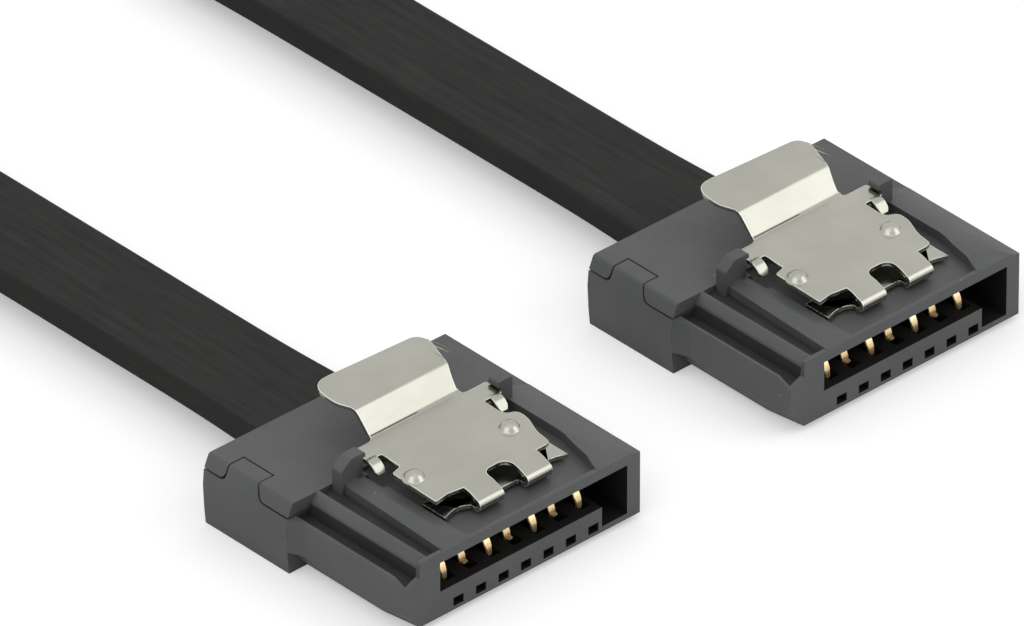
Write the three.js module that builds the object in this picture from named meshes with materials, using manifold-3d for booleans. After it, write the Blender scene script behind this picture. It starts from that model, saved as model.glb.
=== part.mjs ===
// A flat data cable with a slim latched plug at each end, in millimetres.
// Frame: +X across the plugs, +Y from the mating faces to the rear, +Z up, with z = 0 where the cable lies.
// A plug's own frame has x = 0 at the middle of its slot, y = 0 at the mating face and z = 0 under the nose.
import * as THREE from 'three';
import { mergeVertices } from 'three/addons/utils/BufferGeometryUtils.js';
import Module from 'manifold-3d';

const wasm = await Module();
wasm.setup();

// Mating slot
const slotWidth = 10.57;
const slotHeight = 1.44;
const slotDepth = 6.2;
const slotFloor = 1.25;
const keyWidth = 1.43;
const keyFloor = 0.27;
const roofThickness = 0.26;

// Contacts and the channels they lie in
const contactCount = 7;
const contactPitch = 1.27;
const firstContactInset = 1.03;
const contactWidth = 0.36;
const contactThickness = 0.15;
const contactTipBehindFace = 0.9;
const evenContactSetBack = 0.25;
const contactTipHeight = 1.0;
const contactCrownHeight = 2.2;
const contactCrownBehindTip = 1.3;
const contactLipRise = 0.22;
const contactLipReach = 0.16;
const contactTailHeight = 0.9;
const contactTailLength = 0.9;
const contactBendLength = 1.2;
const contactBendRise = 0.12;
const contactSteps = 4;
const channelClearance = 0.105;
const channelFloor = 0.18;
const channelFrontWall = 0.45;
const channelWindowHeight = 0.41;
const tailSlitClearance = 0.03;

// Nose
const noseLength = 6.9;
const leftWall = 1.24;
const rightWall = 0.87;
const noseSideHeight = 2.96;
const noseEdgeChamfer = 0.1;
const leadInDepth = 0.15;

// Left side of the nose: chamfered foot, upright flange, side groove, outer rib, deep groove and broad strip
const footReach = 0.2;
const footFrontInset = 0.085;
const footTaperLength = 2.6;
const footTaperReach = 0.39;
const footTaperRise = 0.92;
const footTaperSide = 0.76;
const sideReach = 0.7;
const sideChamferTop = 0.8;
const flangeWidth = 0.14;
const flangeHeight = 2.46;
const flangeFrontDrop = 0.33;
const flangeFrontLength = 0.8;
const grooveFloor = 2.1;
const outerRibInset = 0.2;
const outerRibWidth = 0.55;
const outerRibHeight = 3.1;
const outerRibLean = 0.1;
const outerRibShoulder = 2.75;
const outerRibShoulderWidth = 0.33;
const outerRibRound = 0.1;
const deepGrooveWidth = 0.18;
const shelfHeight = 2.84;
const stripWidth = 1.54;
const stripTaper = 0.27;
const stripHeight = 3.4;
const stripFoot = 3.22;
const stripCrestInset = 0.74;
const stripDrop = 0.2;
const leftPocketDepth = 0.3;
const leftPocketMargin = 0.2;

// The front plate, which closes the recess and the grooves towards the mating face
const frontPlate = 0.22;
const frontHeight = 3.19;
const frontSlopeLength = 0.9;
const plateNeckInset = 0.13;
const plateCornerInset = 0.125;
const plateCornerRound = 0.1;

// Latch recess and the rail on its right
const recessSideClearance = 0.13;
const plateEdgeOverlap = 0.035;
const recessRightGap = 0.69;
const railHeight = 3.4;
const railCreaseInset = 1.0;
const railCreaseDrop = 0.06;
const railCurve = [[0.69, 0], [0.62, 0.39], [0.43, 0.97], [0.25, 1.93], [0.05, 2.7], [0, 3.1]];

// Rear shell, lower half and cover
const rearLength = 5.16;
const rearDrop = 0.31;
const rearBulge = 0.95;
const rearBarrel = 0.12;
const rearTopLeft = 3.12;
const rearTopEdge = 0.15;
const rearCornerInset = 0.22;
const rearCornerRound = 0.12;
const rearSideTop = 2.68;
const rearSideInset = 0.035;
const rearBarrelHeights = [2.45, 1.7, 0.5];
const rearFootInset = 0.02;
const rampLength = 0.7;
const rampReach = 0.09;
const partingHeight = 2.5;
const seamGap = 0.08;
const tongueStart = 8.95;
const tongueLean = 0.32;
const tongueEnd = 10.85;
const hookRadius = 0.3;
const shellWall = 0.75;
const cavityFloor = 0.35;
const rearWall = 0.8;
const divider = 1.0;

// Ears that hold the latch's shoulders down
const earLength = 0.6;
const earBack = 0.06;
const earPostWidth = 0.68;
const earRound = 0.12;
const earHook = 0.14;
const earHookThickness = 0.25;
const earFootWidth = 1.2;
const earFootTop = 4.0;
const earClearance = 0.08;

// Latch, a hairpin of sheet steel
const sheet = 0.2;
const latchHalfWidth = 3.6;
const latchFrontHalfWidth = 3.1;
const latchPlateStart = 2.08;
const latchPlateHeight = 3.84;
const latchPlateRise = 0.16;
const latchFrontY = 1.05;
const leafLift = 0.13;
const leafEnd = 3.1;
const leafFront = 1.66;
const bendHeight = 0.65;
const legInner = 0.66;
const legOuter = 2.05;
const legOverlap = 0.3;
const hairpinSteps = 6;
const archDepth = 0.36;
const notchFront = 4.85;
const notchRear = 6.05;
const notchDepth = 0.58;
const notchWallLean = 0.16;
const sideTabWidth = 0.5;
const sideTabInset = 0.2;
const sideTabLength = 0.6;
const sideTabShift = 0.06;
const sideTabDrop = 0.36;
const sideTabSteps = 4;
const shoulderWidth = 0.2;
const shoulderRear = 7.05;
const shoulderRound = 0.1;
const riseSteps = 14;
const riseSoftening = 0.3;
const riseRound = 0.03;
const frontCornerInset = 0.3;
const frontCornerCut = 0.12;
const leftCornerInset = 0.05;
const rightBulge = 3.37;
const rightBulgeStart = 1.92;
const rightBulgeRear = 4.62;
const rightFlare = 2.97;
const rightFlareStart = 0.92;
const rightNotch = 2.79;
const rightNotchFoot = 0.1;
const rightNotchMouth = 4.84;
const rightNotchRear = 5.15;
const rightNotchRound = 0.2;
const rightFrontInset = 0.25;
const neckFlare = 0.12;
const neckWaist = 0.08;
const rightSideShift = 0.2;
const tabFlareLength = 0.75;
const tabRightInset = 0.2;
const tabRightTaper = 0.55;
const archRound = 0.33;
const neckY = 7.35;
const neckHalfWidth = 2.5;
const neckFillet = 0.45;
const tabCreaseY = 8.15;
const tabCreaseHeight = 5.05;
const tabRearY = 10.25;
const tabRearSlant = 0.3;
const tabRearHeight = 5.22;
const tabHalfWidth = 3.0;
const tabCornerLeft = 1.0;
const tabCornerRight = 0.4;
const domeLeft = 3.1;
const domeRight = 2.27;
const domeY = 3.95;
const domeRadius = 0.46;
const domeHeight = 0.26;
const domeSteps = 4;
const domeSegments = 12;

// Ribbon and what is inside the plug
const ribbonWidth = 5.3;
const ribbonThickness = 1.25;
const ribbonEdge = 0.3;
const ribbonOffset = -0.82;
const ribbonExitHeight = 0.7;
const ribbonInside = 1.1;
const ribbonClearance = 0.08;
const ribbonSteps = 72;
const gateOverlap = 0.5;
const clampLength = 1.2;
const clampClearance = 0.06;
const clampWindow = 1;
const coreRadius = 0.36;
const drainRadius = 0.16;
const corePins = [2, 3, 5, 6];
const drainPins = [1, 4, 7];
const wireGap = 0.02;
const wireEdgeInset = 0.275;
const wireSpare = 0.14;
const wireLeadIn = 0.2;
const wireStandOff = 0.15;
const wireSteps = 8;
const wireSides = 4;

// Where the two plugs stand
const plugSpacing = 21.84;

// Sizes that follow from the ones above
const slotLeft = -slotWidth / 2;
const slotRight = slotWidth / 2;
const slotTop = slotFloor + slotHeight;
const recessFloor = slotTop + roofThickness;
const noseLeft = slotLeft - leftWall;
const noseRight = slotRight + rightWall;
const sideLeft = noseLeft - sideReach;
const recessLeft = -latchHalfWidth + plateEdgeOverlap;
const recessRight = latchHalfWidth + recessRightGap;
const plugLength = noseLength + rearLength;
const rearLeft = noseLeft - rearBulge;
const rearFront = noseLength;
const cavityFront = slotDepth + divider;
const cavityRear = plugLength - rearWall;
const ribbonStartY = plugLength / 2 - ribbonInside + wireGap;
const ribbonLift = rearDrop + ribbonExitHeight;
const plugAX = -(plugSpacing + noseRight + rearLeft - rearBarrel) / 2;

// Where the wires lie across the ribbon, in the order of their pins
const wireEdge = ribbonWidth / 2 - wireEdgeInset;
const wireSpacing = coreRadius + drainRadius + wireSpare;
const corePositions = [-wireEdge + wireSpacing, -wireSpacing, wireSpacing, wireEdge - wireSpacing];
const drainPositions = [-wireEdge, 0, wireEdge];

// Spare lengths for solids that cut or join
const far = 40;
const slack = 1;
const overlap = 0.1;

function contactX(pin) {
  return slotLeft + firstContactInset + (pin - 1) * contactPitch;
}

// Outlines: each point is [u, v] or [u, v, radius], and a corner with a radius is rounded.
const cornerSteps = 3;

function shapeOf(points) {
  const shape = new THREE.Shape();
  const count = points.length;
  points.forEach(([u, v, radius = 0], i) => {
    const corner = new THREE.Vector2(u, v);
    if (!radius) {
      if (i === 0) shape.moveTo(u, v);
      else shape.lineTo(u, v);
      return;
    }
    const before = new THREE.Vector2(...points[(i + count - 1) % count].slice(0, 2)).sub(corner);
    const after = new THREE.Vector2(...points[(i + 1) % count].slice(0, 2)).sub(corner);
    const start = before.setLength(radius).add(corner);
    const end = after.setLength(radius).add(corner);
    if (i === 0) shape.moveTo(start.x, start.y);
    else shape.lineTo(start.x, start.y);
    shape.quadraticCurveTo(u, v, end.x, end.y);
  });
  shape.closePath();
  return shape;
}

function solidFrom(geometry) {
  geometry.deleteAttribute('normal');
  geometry.deleteAttribute('uv');
  const merged = mergeVertices(geometry, 1e-5);
  return new wasm.Manifold(new wasm.Mesh({
    numProp: 3,
    vertProperties: new Float32Array(merged.attributes.position.array),
    triVerts: new Uint32Array(merged.index.array),
  }));
}

function extrude(points, depth, matrix) {
  const shape = shapeOf(points);
  const options = { depth, bevelEnabled: false, curveSegments: cornerSteps };
  return solidFrom(new THREE.ExtrudeGeometry(shape, options).applyMatrix4(matrix));
}

// An outline of [y, z] points carried along X.
function alongX(points, x0, x1) {
  const matrix = new THREE.Matrix4().makeBasis(
    new THREE.Vector3(0, 1, 0), new THREE.Vector3(0, 0, 1), new THREE.Vector3(1, 0, 0));
  matrix.setPosition(x0, 0, 0);
  return extrude(points, x1 - x0, matrix);
}

// An outline of [x, z] points carried along Y.
function alongY(points, y0, y1) {
  const matrix = new THREE.Matrix4().makeBasis(
    new THREE.Vector3(1, 0, 0), new THREE.Vector3(0, 0, 1), new THREE.Vector3(0, -1, 0));
  matrix.setPosition(0, y1, 0);
  return extrude(points, y1 - y0, matrix);
}

// An outline of [x, y] points carried along Z.
function alongZ(points, z0, z1) {
  return extrude(points, z1 - z0, new THREE.Matrix4().makeTranslation(0, 0, z0));
}

function block(x0, x1, y0, y1, z0, z1) {
  const geometry = new THREE.BoxGeometry(x1 - x0, y1 - y0, z1 - z0);
  return solidFrom(geometry.translate((x0 + x1) / 2, (y0 + y1) / 2, (z0 + z1) / 2));
}

function union(first, ...rest) {
  return rest.reduce((sum, solid) => sum.add(solid), first);
}

function cut(first, ...rest) {
  return rest.reduce((left, solid) => left.subtract(solid), first);
}

// The outline of a strip of even thickness along a line of [u, v] points.
function stripOutline(line, thickness) {
  const sides = [[], []];
  line.forEach(([u, v], i) => {
    const [u0, v0] = line[Math.max(i - 1, 0)];
    const [u1, v1] = line[Math.min(i + 1, line.length - 1)];
    const before = new THREE.Vector2(u - u0, v - v0).normalize();
    const after = new THREE.Vector2(u1 - u, v1 - v).normalize();
    const along = before.clone().add(after).normalize();
    const one = before.length() ? before : after;
    const reach = thickness / 2 / Math.max(Math.abs(along.dot(one)), 0.5);
    sides[0].push([u - along.y * reach, v + along.x * reach]);
    sides[1].unshift([u + along.y * reach, v - along.x * reach]);
  });
  return [...sides[0], ...sides[1]];
}

// The nose with the ribs and grooves of its left side, the latch recess and the right rail, as one section.
function noseSection() {
  const ribLeft = noseLeft + outerRibInset;
  const ribRight = ribLeft + outerRibWidth;
  const grooveRight = ribRight + deepGrooveWidth;
  const stripLeft = recessLeft - stripWidth;
  return [
    [noseLeft - footReach, 0],
    [noseRight - noseEdgeChamfer, 0],
    [noseRight, noseEdgeChamfer],
    [noseRight, noseSideHeight, noseEdgeChamfer],
    [noseRight - railCreaseInset, railHeight - railCreaseDrop],
    [recessRight, railHeight],
    [recessRight, recessFloor],
    [recessLeft, recessFloor],
    [recessLeft, stripHeight - stripDrop],
    [recessLeft - stripCrestInset, stripHeight],
    [stripLeft, stripFoot],
    [stripLeft, shelfHeight],
    [grooveRight, shelfHeight],
    [grooveRight, grooveFloor],
    [ribRight, grooveFloor],
    [ribRight, outerRibHeight],
    [ribLeft + outerRibLean + outerRibShoulderWidth, outerRibHeight, outerRibRound],
    [ribLeft + outerRibLean, outerRibShoulder, outerRibRound],
    [ribLeft, grooveFloor],
    [sideLeft + flangeWidth, grooveFloor],
    [sideLeft + flangeWidth, flangeHeight],
    [sideLeft, flangeHeight],
    [sideLeft, sideChamferTop],
  ];
}

// The front plate's upper part, from the right rail across the recess to the side groove's front end.
function frontPlateSection() {
  const low = grooveFloor - overlap;
  const ribLeft = noseLeft + outerRibInset;
  const railSlope = (railHeight - railCreaseDrop - noseSideHeight) / railCreaseInset;
  return [
    [sideLeft, low],
    [noseRight, low],
    [noseRight, noseSideHeight, noseEdgeChamfer],
    [noseRight - (frontHeight - noseSideHeight) / railSlope, frontHeight],
    [noseLeft + plateCornerInset, frontHeight, plateCornerRound],
    [ribLeft - plateNeckInset, flangeHeight],
    [sideLeft, flangeHeight - flangeFrontDrop],
  ];
}

// The bottom left edge of the nose, trimmed by a plane that falls away towards the front corner.
function footTrimmed(solid) {
  const corner = new THREE.Vector3(noseLeft + footFrontInset, 0, 0);
  const above = corner.clone().add(new THREE.Vector3(-footTaperSide, 0, footTaperRise));
  const behind = corner.clone().add(new THREE.Vector3(-footTaperReach, footTaperLength, 0));
  const plane = new THREE.Plane().setFromCoplanarPoints(corner, behind, above);
  return solid.trimByPlane(plane.normal.toArray(), -plane.constant);
}

function noseSolid() {
  const body = alongY(noseSection(), 0, noseLength);
  const flangeFront = alongX([
    [-slack, flangeHeight - flangeFrontDrop],
    [0, flangeHeight - flangeFrontDrop],
    [flangeFrontLength, flangeHeight],
    [flangeFrontLength, flangeHeight + slack],
    [-slack, flangeHeight + slack],
  ], sideLeft - slack, sideLeft + flangeWidth + overlap);
  const stripLeft = recessLeft - stripWidth;
  const taper = alongZ([
    [stripLeft - overlap, 0],
    [stripLeft, 0],
    [stripLeft + stripTaper, noseLength + slack],
    [stripLeft - overlap, noseLength + slack],
  ], shelfHeight, railHeight + slack);
  const railInside = alongZ([
    ...railCurve.map(([inset, y]) => [recessRight - inset, y]),
    [recessRight + overlap, railCurve.at(-1)[1]],
    [recessRight + overlap, 0],
  ], recessFloor - overlap, railHeight);
  const plate = alongY(frontPlateSection(), 0, frontPlate);
  const frontSlope = alongX([
    [-slack, frontHeight],
    [0, frontHeight],
    [frontSlopeLength, railHeight],
    [frontSlopeLength, railHeight + slack],
    [-slack, railHeight + slack],
  ], sideLeft - slack, noseRight + slack);
  const cornerCut = alongZ([
    [noseRight + slack, -slack],
    [noseRight - leadInDepth, -slack],
    [noseRight - leadInDepth, 0],
    [noseRight, leadInDepth],
    [noseRight + slack, leadInDepth],
  ], -slack, noseSideHeight + slack);
  const shaped = union(cut(body, flangeFront, taper), railInside, plate);
  return footTrimmed(cut(shaped, frontSlope, cornerCut));
}

// The whole rear shell, both halves together, from just ahead of the cavity to the back of the plug.
function rearSolid() {
  const [upper, middle, lower] = rearBarrelHeights;
  const section = [
    [rearLeft + rearFootInset, -rearDrop],
    [noseRight - noseEdgeChamfer, -rearDrop],
    [noseRight, noseEdgeChamfer - rearDrop],
    [noseRight, noseSideHeight, noseEdgeChamfer],
    [noseLeft + rearTopEdge, rearTopLeft],
    [rearLeft + rearCornerInset, rearTopLeft, rearCornerRound],
    [rearLeft + rearSideInset, rearSideTop],
    [rearLeft - rearBarrel / 2, upper],
    [rearLeft - rearBarrel, middle],
    [rearLeft - rearBarrel / 2, lower],
  ];
  return alongY(section, rearFront, plugLength);
}

// The ramp that widens the nose's flange into the rear shell on the left.
function rampSolid() {
  const plan = [
    [sideLeft + overlap, rearFront - rampLength],
    [sideLeft, rearFront - rampLength],
    [rearLeft - rampReach, rearFront],
    [sideLeft + overlap, rearFront],
  ];
  return alongZ(plan, sideChamferTop, flangeHeight);
}

// What lies above the parting line, grown by a gap: the cover's share of the rear shell.
function coverShare(gap) {
  const hookLine = noseLeft + rearTopEdge;
  const low = partingHeight - gap;
  const rearHook = [
    [tongueEnd - gap, low, hookRadius],
    [plugLength + slack, low],
    [plugLength + slack, far],
    [tongueEnd - gap, far],
  ];
  const frontHook = [
    [rearFront - slack, low],
    [tongueStart + gap - tongueLean, low, hookRadius],
    [tongueStart + gap, rearTopLeft],
    [tongueStart + gap, far],
    [rearFront - slack, far],
  ];
  return union(
    block(hookLine - gap, far, rearFront - slack, plugLength + slack, low, far),
    alongX(rearHook, rearLeft - slack, hookLine + seamGap),
    alongX(frontHook, rearLeft - slack, hookLine + seamGap),
  );
}

function cavity() {
  return block(noseLeft + shellWall, noseRight - shellWall,
    cavityFront, cavityRear, cavityFloor, partingHeight);
}

// The slot in the rear wall that the ribbon comes in through.
function ribbonGate(top) {
  const half = ribbonWidth / 2 + ribbonClearance;
  return block(ribbonOffset - half, ribbonOffset + half, cavityRear - gateOverlap, plugLength + slack,
    ribbonExitHeight - ribbonClearance, top);
}

// A left ear's outline, with its hook over the latch's shoulder, and the outer points that close it.
function earOutline(...outer) {
  const plateTop = latchPlateHeight + latchPlateRise + sheet / 2;
  const inner = latchHalfWidth + shoulderWidth + earClearance;
  const hookBottom = plateTop + earClearance;
  const hookTop = hookBottom + earHookThickness;
  return [
    [-inner, shelfHeight - overlap],
    [-inner, hookBottom],
    [-inner + earHook, hookBottom],
    [-inner + earHook, hookTop, earRound],
    [-inner - earPostWidth, hookTop, earRound],
    ...outer.map(([width, z, radius = 0]) => [-inner - width, z, radius]),
  ];
}

function ears() {
  const y1 = rearFront - earBack;
  const y0 = y1 - earLength;
  const low = shelfHeight - overlap;
  const left = earOutline([earFootWidth, earFootTop, earRound], [earFootWidth, low]);
  const right = earOutline([earPostWidth, low]).map(([x, z, radius = 0]) => [-x, z, radius]).reverse();
  return union(alongY(left, y0, y1), alongY(right, y0, y1));
}

function contactChannels() {
  const half = contactWidth / 2 + channelClearance;
  const slitHalf = contactWidth / 2 + tailSlitClearance;
  const slitLow = contactTailHeight - contactThickness / 2 - tailSlitClearance;
  const slitHigh = contactTailHeight + contactThickness / 2 + tailSlitClearance;
  const cuts = [];
  for (let pin = 1; pin <= contactCount; pin += 1) {
    const x = contactX(pin);
    const windowTop = channelFloor + channelWindowHeight;
    cuts.push(block(x - half, x + half, channelFrontWall, slotDepth, channelFloor, slotFloor + overlap));
    cuts.push(block(x - half, x + half, -slack, channelFrontWall + overlap, channelFloor, windowTop));
    cuts.push(block(x - slitHalf, x + slitHalf, slotDepth - overlap, cavityFront + overlap,
      slitLow, slitHigh));
  }
  return cuts;
}

function housingSolid() {
  const slot = block(slotLeft, slotRight, -slack, slotDepth, slotFloor, slotTop);
  const key = block(slotRight - keyWidth, slotRight, -slack, slotDepth, keyFloor, slotTop);
  const leftPocket = block(recessLeft - leftPocketDepth, recessLeft + overlap, notchFront + leftPocketMargin,
    notchRear + leftPocketMargin, recessFloor, railHeight + slack);
  const lower = rearSolid().subtract(coverShare(seamGap));
  const body = union(noseSolid(), rampSolid(), lower, ears());
  return cut(body, slot, key, leftPocket, cavity(), ribbonGate(partingHeight + slack), ...contactChannels());
}

function coverSolid() {
  const shell = rearSolid().intersect(coverShare(0));
  const lipBottom = ribbonExitHeight + ribbonThickness + ribbonClearance;
  const gateLip = block(ribbonOffset - ribbonWidth / 2, ribbonOffset + ribbonWidth / 2,
    cavityRear + seamGap, plugLength, lipBottom, partingHeight + overlap);
  return shell.add(gateLip);
}

// Height of the latch plate's middle at a distance from the mating face.
function plateHeight(y) {
  const share = (y - latchPlateStart) / (shoulderRear - latchPlateStart);
  return latchPlateHeight + latchPlateRise * share;
}

// One leg of the hairpin: forwards along the leaf, round the bend and back up to the plate.
function latchLeg() {
  const leafHeight = recessFloor + leafLift + sheet / 2;
  const bendRadius = (bendHeight - sheet) / 2;
  const bendY = latchFrontY + bendRadius + sheet / 2;
  const bendZ = leafHeight + bendRadius;
  const line = [[leafFront + legOverlap, leafHeight]];
  for (let i = 0; i <= hairpinSteps; i += 1) {
    const angle = Math.PI * (-0.5 - i / hairpinSteps);
    line.push([bendY + bendRadius * Math.cos(angle), bendZ + bendRadius * Math.sin(angle)]);
  }
  line.push([latchPlateStart + overlap, plateHeight(latchPlateStart + overlap)]);
  return stripOutline(line, sheet);
}

// The plate from its front edge back to the thumb tab, which rises in an S from the neck.
function plateOutline() {
  const neckHeight = plateHeight(neckY);
  const rise = [
    [neckY - riseSoftening, plateHeight(neckY - riseSoftening)],
    [neckY, neckHeight + riseRound],
    [(neckY + tabCreaseY) / 2, (neckHeight + tabCreaseHeight) / 2],
    [tabCreaseY, tabCreaseHeight - riseRound],
    [tabCreaseY + riseSoftening, tabCreaseHeight + riseRound],
    [tabRearY + tabRearSlant, tabRearHeight],
  ];
  const curve = new THREE.SplineCurve(rise.map(([y, z]) => new THREE.Vector2(y, z)));
  const line = curve.getPoints(riseSteps).map((point) => [point.x, point.y]);
  return stripOutline([[latchPlateStart, plateHeight(latchPlateStart)], ...line], sheet);
}

// The plate's plan, seen from above, from its front left corner round by the tab and back.
function platePlan() {
  const side = latchHalfWidth;
  const front = latchPlateStart;
  return [
    [-legOuter, front],
    [-latchFrontHalfWidth + frontCornerInset, front + frontCornerCut],
    [-side + leftCornerInset, front],
    [-side, notchFront - notchWallLean / 2],
    [-side + notchDepth, notchFront + notchWallLean / 2],
    [-side + notchDepth, notchRear],
    [-side - shoulderWidth, notchRear],
    [-side - shoulderWidth, shoulderRear, shoulderRound],
    [-neckHalfWidth, shoulderRear, neckFillet],
    [-neckHalfWidth - neckFlare, tabCreaseY],
    [-tabHalfWidth, tabCreaseY + tabFlareLength],
    [-tabHalfWidth, tabRearY + tabRearSlant, tabCornerLeft],
    [tabHalfWidth - tabRightInset, tabRearY, tabCornerRight],
    [tabHalfWidth, tabRearY - tabRightTaper],
    [neckHalfWidth + neckFlare, tabCreaseY + rightSideShift],
    [neckHalfWidth - neckWaist, neckY + rightSideShift],
    [neckHalfWidth, shoulderRear, neckFillet],
    [side + shoulderWidth, shoulderRear, shoulderRound],
    [side + shoulderWidth, notchRear],
    [rightNotch, notchRear],
    [rightNotch, rightNotchRear],
    [rightNotch + rightNotchFoot, rightNotchMouth],
    [rightBulge, rightBulgeRear, rightNotchRound],
    [rightBulge, front + rightBulgeStart],
    [rightFlare, front + rightFlareStart],
    [rightFlare - rightFrontInset / 2, front + frontCornerCut],
    [rightFlare - rightFrontInset, front],
    [legInner, front],
    [legInner, front + archDepth, archRound],
    [-legInner, front + archDepth, archRound],
    [-legInner, front],
  ];
}

// A side tab that stays rooted at the rear of its notch and bends down towards the recess.
function sideTab() {
  const line = [[notchRear + overlap, plateHeight(notchRear + overlap)]];
  for (let i = 1; i <= sideTabSteps; i += 1) {
    const share = i / sideTabSteps;
    line.push([notchRear - sideTabLength * share, plateHeight(notchRear) - sideTabDrop * share ** 2]);
  }
  return stripOutline(line, sheet);
}

function latchSolid() {
  const leg = latchLeg();
  const legs = union(alongX(leg, legInner, legOuter), alongX(leg, -legOuter, -legInner));
  const band = alongX(plateOutline(), -far / 2, far / 2);
  const plate = band.intersect(alongZ(platePlan(), recessFloor, tabRearHeight + slack));
  const leafHalf = latchHalfWidth - recessSideClearance;
  const leafBottom = recessFloor + leafLift;
  const leaf = block(-leafHalf, leafHalf, leafFront, leafEnd, leafBottom, leafBottom + sheet);
  const tab = sideTab();
  const tabInner = latchHalfWidth - notchDepth + sideTabInset;
  const tabOuter = tabInner + sideTabWidth;
  const tabs = union(
    alongX(tab, tabInner - sideTabShift, tabOuter - sideTabShift),
    alongX(tab, -tabOuter - sideTabShift, -tabInner - sideTabShift),
  );
  const dome = domeSolid();
  const domes = union(dome.translate([-domeLeft, domeY, 0]), dome.translate([domeRight, domeY, 0]));
  return union(plate, legs, leaf, tabs, domes);
}

// A catch dome pressed up out of the latch plate, on the plate's own level at its place.
function domeSolid() {
  const outline = [new THREE.Vector2(0, -sheet / 2), new THREE.Vector2(domeRadius, -sheet / 2)];
  for (let i = 0; i <= domeSteps; i += 1) {
    const angle = (i / domeSteps) * (Math.PI / 2);
    outline.push(new THREE.Vector2(domeRadius * Math.cos(angle), domeHeight * Math.sin(angle)));
  }
  const geometry = new THREE.LatheGeometry(outline, domeSegments);
  geometry.rotateX(Math.PI / 2);
  return solidFrom(geometry.translate(0, 0, plateHeight(domeY) + sheet / 2));
}

// A spring contact: a tip by the slot's floor, a crown that meets the mating tongue, a tail in the cavity.
function contactSolid(pin) {
  const even = pin % 2 === 0;
  const tipY = contactTipBehindFace + (even ? evenContactSetBack : 0);
  const rise = contactCrownHeight - contactTipHeight;
  const line = even ? [[tipY - contactLipReach, contactTipHeight + contactLipRise]] : [];
  for (let i = 0; i <= contactSteps; i += 1) {
    const angle = (i / contactSteps) * (Math.PI / 2);
    const y = tipY + contactCrownBehindTip * (1 - Math.cos(angle));
    line.push([y, contactTipHeight + rise * Math.sin(angle)]);
  }
  line.push(
    [slotDepth - contactBendLength, contactTailHeight + contactBendRise],
    [slotDepth - contactBendLength / 2, contactTailHeight],
    [cavityFront + contactTailLength, contactTailHeight],
  );
  const x = contactX(pin);
  return alongX(stripOutline(line, contactThickness), x - contactWidth / 2, x + contactWidth / 2);
}

// A round wire from above its contact's tail back to its place in the ribbon.
function wireSolid(pin, radius, ribbonX) {
  const startY = cavityFront + wireStandOff;
  const endY = plugLength - ribbonInside - wireGap;
  const startZ = contactTailHeight + contactThickness / 2 + wireGap + radius;
  const endZ = ribbonExitHeight + ribbonThickness / 2;
  const path = new THREE.CatmullRomCurve3([
    new THREE.Vector3(contactX(pin), startY, startZ),
    new THREE.Vector3(contactX(pin), cavityFront + contactTailLength, startZ),
    new THREE.Vector3(ribbonOffset + ribbonX, endY - clampLength - wireLeadIn, endZ),
    new THREE.Vector3(ribbonOffset + ribbonX, endY - clampLength / 2, endZ),
    new THREE.Vector3(ribbonOffset + ribbonX, endY, endZ),
  ]);
  const circle = new THREE.Shape();
  circle.absarc(0, 0, radius, 0, 2 * Math.PI);
  const options = { extrudePath: path, steps: wireSteps, curveSegments: wireSides };
  return solidFrom(new THREE.ExtrudeGeometry(circle, options));
}

// The moulded frame round the wires, just ahead of the ribbon's end.
function clampSolid() {
  const rear = plugLength - ribbonInside - wireGap;
  const front = rear - clampLength;
  const middle = ribbonExitHeight + ribbonThickness / 2;
  const half = ribbonWidth / 2;
  const body = block(noseLeft + shellWall + clampClearance, noseRight - shellWall - clampClearance,
    front, rear, cavityFloor + clampClearance / 2, partingHeight - clampClearance - seamGap);
  const window = block(ribbonOffset - half, ribbonOffset + half, front - slack, rear + slack,
    middle - clampWindow / 2, middle + clampWindow / 2);
  return cut(body, window);
}

// Half of the cable's route, from a plug to the middle of the loop. Each row is the distance outwards from the
// line the ribbon leaves the plug on, y, the height of its underside above the table, and its roll in degrees:
// 0 lies flat, 90 stands on edge.
const halfRoute = [
  [0, ribbonStartY, ribbonLift, 0],
  [0, 14, ribbonLift, 0],
  [0, 24, ribbonLift, 0],
  [0, 33, 0.96, 0],
  [0, 42, 0.62, 0],
  [0, 52, 0.18, 0],
  [0, 66, 0, 0],
  [0, 84, 0, 0],
  [0.04, 98.2, 0, 12],
  [0.26, 109.2, 0, 40],
  [0.76, 120.2, 0, 72],
  [1.1, 130.2, 0, 88],
  [0.1, 139.4, 0, 90],
  [-4.5, 146.2, 0, 90],
];
const loopEnd = 148.8;

// The second half mirrors the first and goes on rolling, so the ribbon arrives turned over by half a turn.
function ribbonRoute() {
  const legA = plugAX + ribbonOffset;
  const legB = legA + plugSpacing;
  const first = halfRoute.map(([out, y, lift, roll]) => [legA - out, y, lift, roll]);
  const second = halfRoute.map(([out, y, lift, roll]) => [legB + out, y, lift, 180 - roll]).reverse();
  return [...first, [(legA + legB) / 2, loopEnd, 0, 90], ...second];
}

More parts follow.
